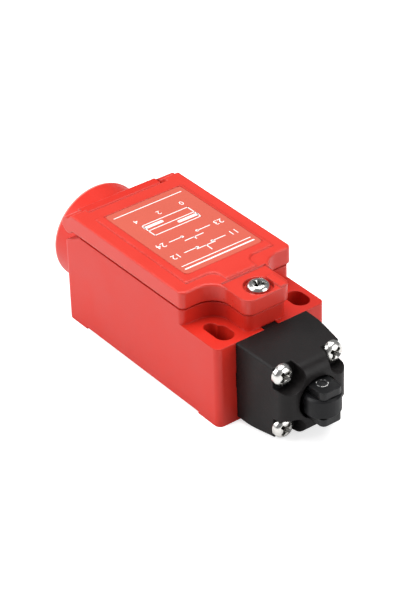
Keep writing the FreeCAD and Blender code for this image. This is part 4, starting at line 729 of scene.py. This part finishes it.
# Contact block: the base and its lid, moulded in dark grey glass-filled nylon that insulates the
# contacts from each other. One screw holds it on the floor of the housing.
BLOCK_GREY = (0.050, 0.052, 0.058)
block_plastic = surface("block_plastic", BLOCK_GREY, rough=0.50, blotch=0.2, blotch_scale=90.0,
                        grain_scale=2000.0, grain_depth=0.00002, edge=0.00012)
paint("contact_base", block_plastic)
paint("contact_lid", block_plastic)

# Fixed contacts and bridges: stamped and bent from brass strip. The fixed ones lie in slots of the
# base, and the bridges ride on the slider.
BRASS = (0.70, 0.47, 0.20)
brass = surface("contact_brass", BRASS, rough=0.30, metal=1.0, blotch=0.2, blotch_scale=220.0,
                grain_scale=4200.0, grain_depth=0.000005, edge=0.00008)
paint("fixed_contacts", brass)
paint("contact_bridges", brass)

# Terminal numbers: small raised numbers on the rim of the contact base, one beside each terminal.
# They are moulded with the base and look a little paler, because their tops catch the light.
NUMBER_LEVEL = 14.99 * MM
NUMBER_HEIGHT = 1.5 * MM
NUMBER_RISE = 0.14 * MM
NUMBER_FRONT = -20.6 * MM
NUMBER_REAR = -28.6 * MM
NUMBER_SIDE = 9.65 * MM
NUMBER_GREY = (0.30, 0.30, 0.30)
digits = []
for number, number_x, number_y in (
        ("11", NUMBER_FRONT, NUMBER_SIDE), ("12", NUMBER_FRONT, -NUMBER_SIDE),
        ("23", NUMBER_REAR, NUMBER_SIDE), ("24", NUMBER_REAR, -NUMBER_SIDE)):
    deselect()
    bpy.ops.object.text_add(location=(number_x, number_y, NUMBER_LEVEL))
    mark = bpy.context.object
    mark.data.body = number
    mark.data.size = NUMBER_HEIGHT
    mark.data.extrude = NUMBER_RISE
    mark.data.align_x = "CENTER"
    mark.data.align_y = "CENTER"
    bpy.ops.object.convert(target="MESH")
    digits.append(bpy.context.object)
number_plastic = surface("number_plastic", NUMBER_GREY, rough=0.5, blotch=0.1, blotch_scale=200.0,
                         grain_scale=3000.0, grain_depth=0.00001, edge=0.00004)
terminal_numbers = settle(join(digits), "terminal_numbers", number_plastic)
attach(terminal_numbers, "body")

# Floor: a plain pale sheet of matt card under the switch. It is plain white to the camera and keeps
# the shadow of the switch.
FLOOR_SIZE = 3.0
FLOOR_TONES = (0.80, 0.82)
FLOOR_GLOW = 0.62
deselect()
bpy.ops.mesh.primitive_plane_add(size=FLOOR_SIZE, location=(0, 0, 0))
floor = bpy.context.object
floor.name = "floor"
floor_material = bpy.data.materials.new("floor_sheet")
floor_material.use_nodes = True
tree = floor_material.node_tree
tree.nodes.clear()
sheet_noise = add_node(tree, "ShaderNodeTexNoise", (), [("Scale", 30.0), ("Detail", 3.0)])
floor_place = add_node(tree, "ShaderNodeTexCoord")
tree.links.new(floor_place.outputs["Object"], sheet_noise.inputs["Vector"])
sheet_tone = add_node(tree, "ShaderNodeMapRange", (), [
    ("To Min", FLOOR_TONES[0]), ("To Max", FLOOR_TONES[1])])
tree.links.new(sheet_noise.outputs["Fac"], sheet_tone.inputs["Value"])
matt = add_node(tree, "ShaderNodeBsdfDiffuse")
tree.links.new(sheet_tone.outputs["Result"], matt.inputs["Color"])
glow = add_node(tree, "ShaderNodeEmission", (), [("Strength", FLOOR_GLOW)])
both = add_node(tree, "ShaderNodeAddShader")
tree.links.new(matt.outputs["BSDF"], both.inputs[0])
tree.links.new(glow.outputs["Emission"], both.inputs[1])
ray = add_node(tree, "ShaderNodeLightPath")
choice = add_node(tree, "ShaderNodeMixShader")
tree.links.new(ray.outputs["Is Camera Ray"], choice.inputs["Fac"])
tree.links.new(matt.outputs["BSDF"], choice.inputs[1])
tree.links.new(both.outputs["Shader"], choice.inputs[2])
floor_output = add_node(tree, "ShaderNodeOutputMaterial")
tree.links.new(choice.outputs["Shader"], floor_output.inputs["Surface"])
floor.data.materials.append(floor_material)

# Studio light: a large soft light on the left and one above, weaker ones from the front right and
# the rear left, and a pale room all round.
ROOM_COLOUR = (0.96, 0.97, 1.0, 1.0)
ROOM_STRENGTH = 0.22
BACKDROP_WHITE = (1.0, 1.0, 1.0, 1.0)
world = bpy.data.worlds.new("studio")
bpy.context.scene.world = world
world.use_nodes = True
sky = world.node_tree
sky.nodes.clear()
room = add_node(sky, "ShaderNodeBackground", (), [("Color", ROOM_COLOUR), ("Strength", ROOM_STRENGTH)])
white = add_node(sky, "ShaderNodeBackground", (), [("Color", BACKDROP_WHITE), ("Strength", 1.0)])
sky_ray = add_node(sky, "ShaderNodeLightPath")
sky_mix = add_node(sky, "ShaderNodeMixShader")
sky_output = add_node(sky, "ShaderNodeOutputWorld")
sky.links.new(sky_ray.outputs["Is Camera Ray"], sky_mix.inputs["Fac"])
sky.links.new(room.outputs["Background"], sky_mix.inputs[1])
sky.links.new(white.outputs["Background"], sky_mix.inputs[2])
sky.links.new(sky_mix.outputs["Shader"], sky_output.inputs["Surface"])


def soft_light(name, place, aim, size, power):
    """A square area light that looks from its place at the aim and stays out of the picture."""
    light = bpy.data.lights.new(name, "AREA")
    light.shape = "SQUARE"
    light.size = size
    light.energy = power
    lamp = bpy.data.objects.new(name, light)
    bpy.context.scene.collection.objects.link(lamp)
    lamp.location = place
    lamp.rotation_mode = "QUATERNION"
    lamp.rotation_quaternion = (Vector(aim) - Vector(place)).to_track_quat("-Z", "Y")
    lamp.visible_camera = False


BODY_MIDDLE = (-0.02, 0, 0.015)
BODY_FRONT = (0, 0, 0.015)
BODY_REAR = (-0.05, 0, 0.015)
soft_light("key_left", (-0.25, -0.55, 0.40), BODY_MIDDLE, size=0.45, power=3.7)
soft_light("top", (-0.05, 0.05, 0.60), BODY_MIDDLE, size=0.50, power=4.1)
soft_light("front", (0.50, 0.25, 0.20), BODY_FRONT, size=0.40, power=1.9)
soft_light("rear_left", (-0.55, -0.20, 0.10), BODY_REAR, size=0.30, power=0.65)

# Camera: the photograph's own view, from the front right and above. A long lens keeps the switch's
# edges nearly parallel.
CAMERA_PLACE = Vector((0.3470, -0.2692, 0.3181))
CAMERA_RIGHT = Vector((0.6052, 0.7956, -0.0276))
CAMERA_UP = Vector((-0.4280, 0.3543, 0.8315))
CAMERA_BACK = Vector((0.6713, -0.4914, 0.5549))
CAMERA_SENSOR = 36.0
CAMERA_LENS = 145.51
CAMERA_NEAREST = 0.01
camera_data = bpy.data.cameras.new("camera")
camera_data.sensor_width = CAMERA_SENSOR
camera_data.lens = CAMERA_LENS
camera_data.clip_start = CAMERA_NEAREST
camera = bpy.data.objects.new("camera", camera_data)
bpy.context.scene.collection.objects.link(camera)
turn = Matrix((CAMERA_RIGHT, CAMERA_UP, CAMERA_BACK)).transposed().to_4x4()
camera.matrix_world = Matrix.Translation(CAMERA_PLACE) @ turn
bpy.context.scene.camera = camera
bpy.context.scene.view_settings.view_transform = "Standard"
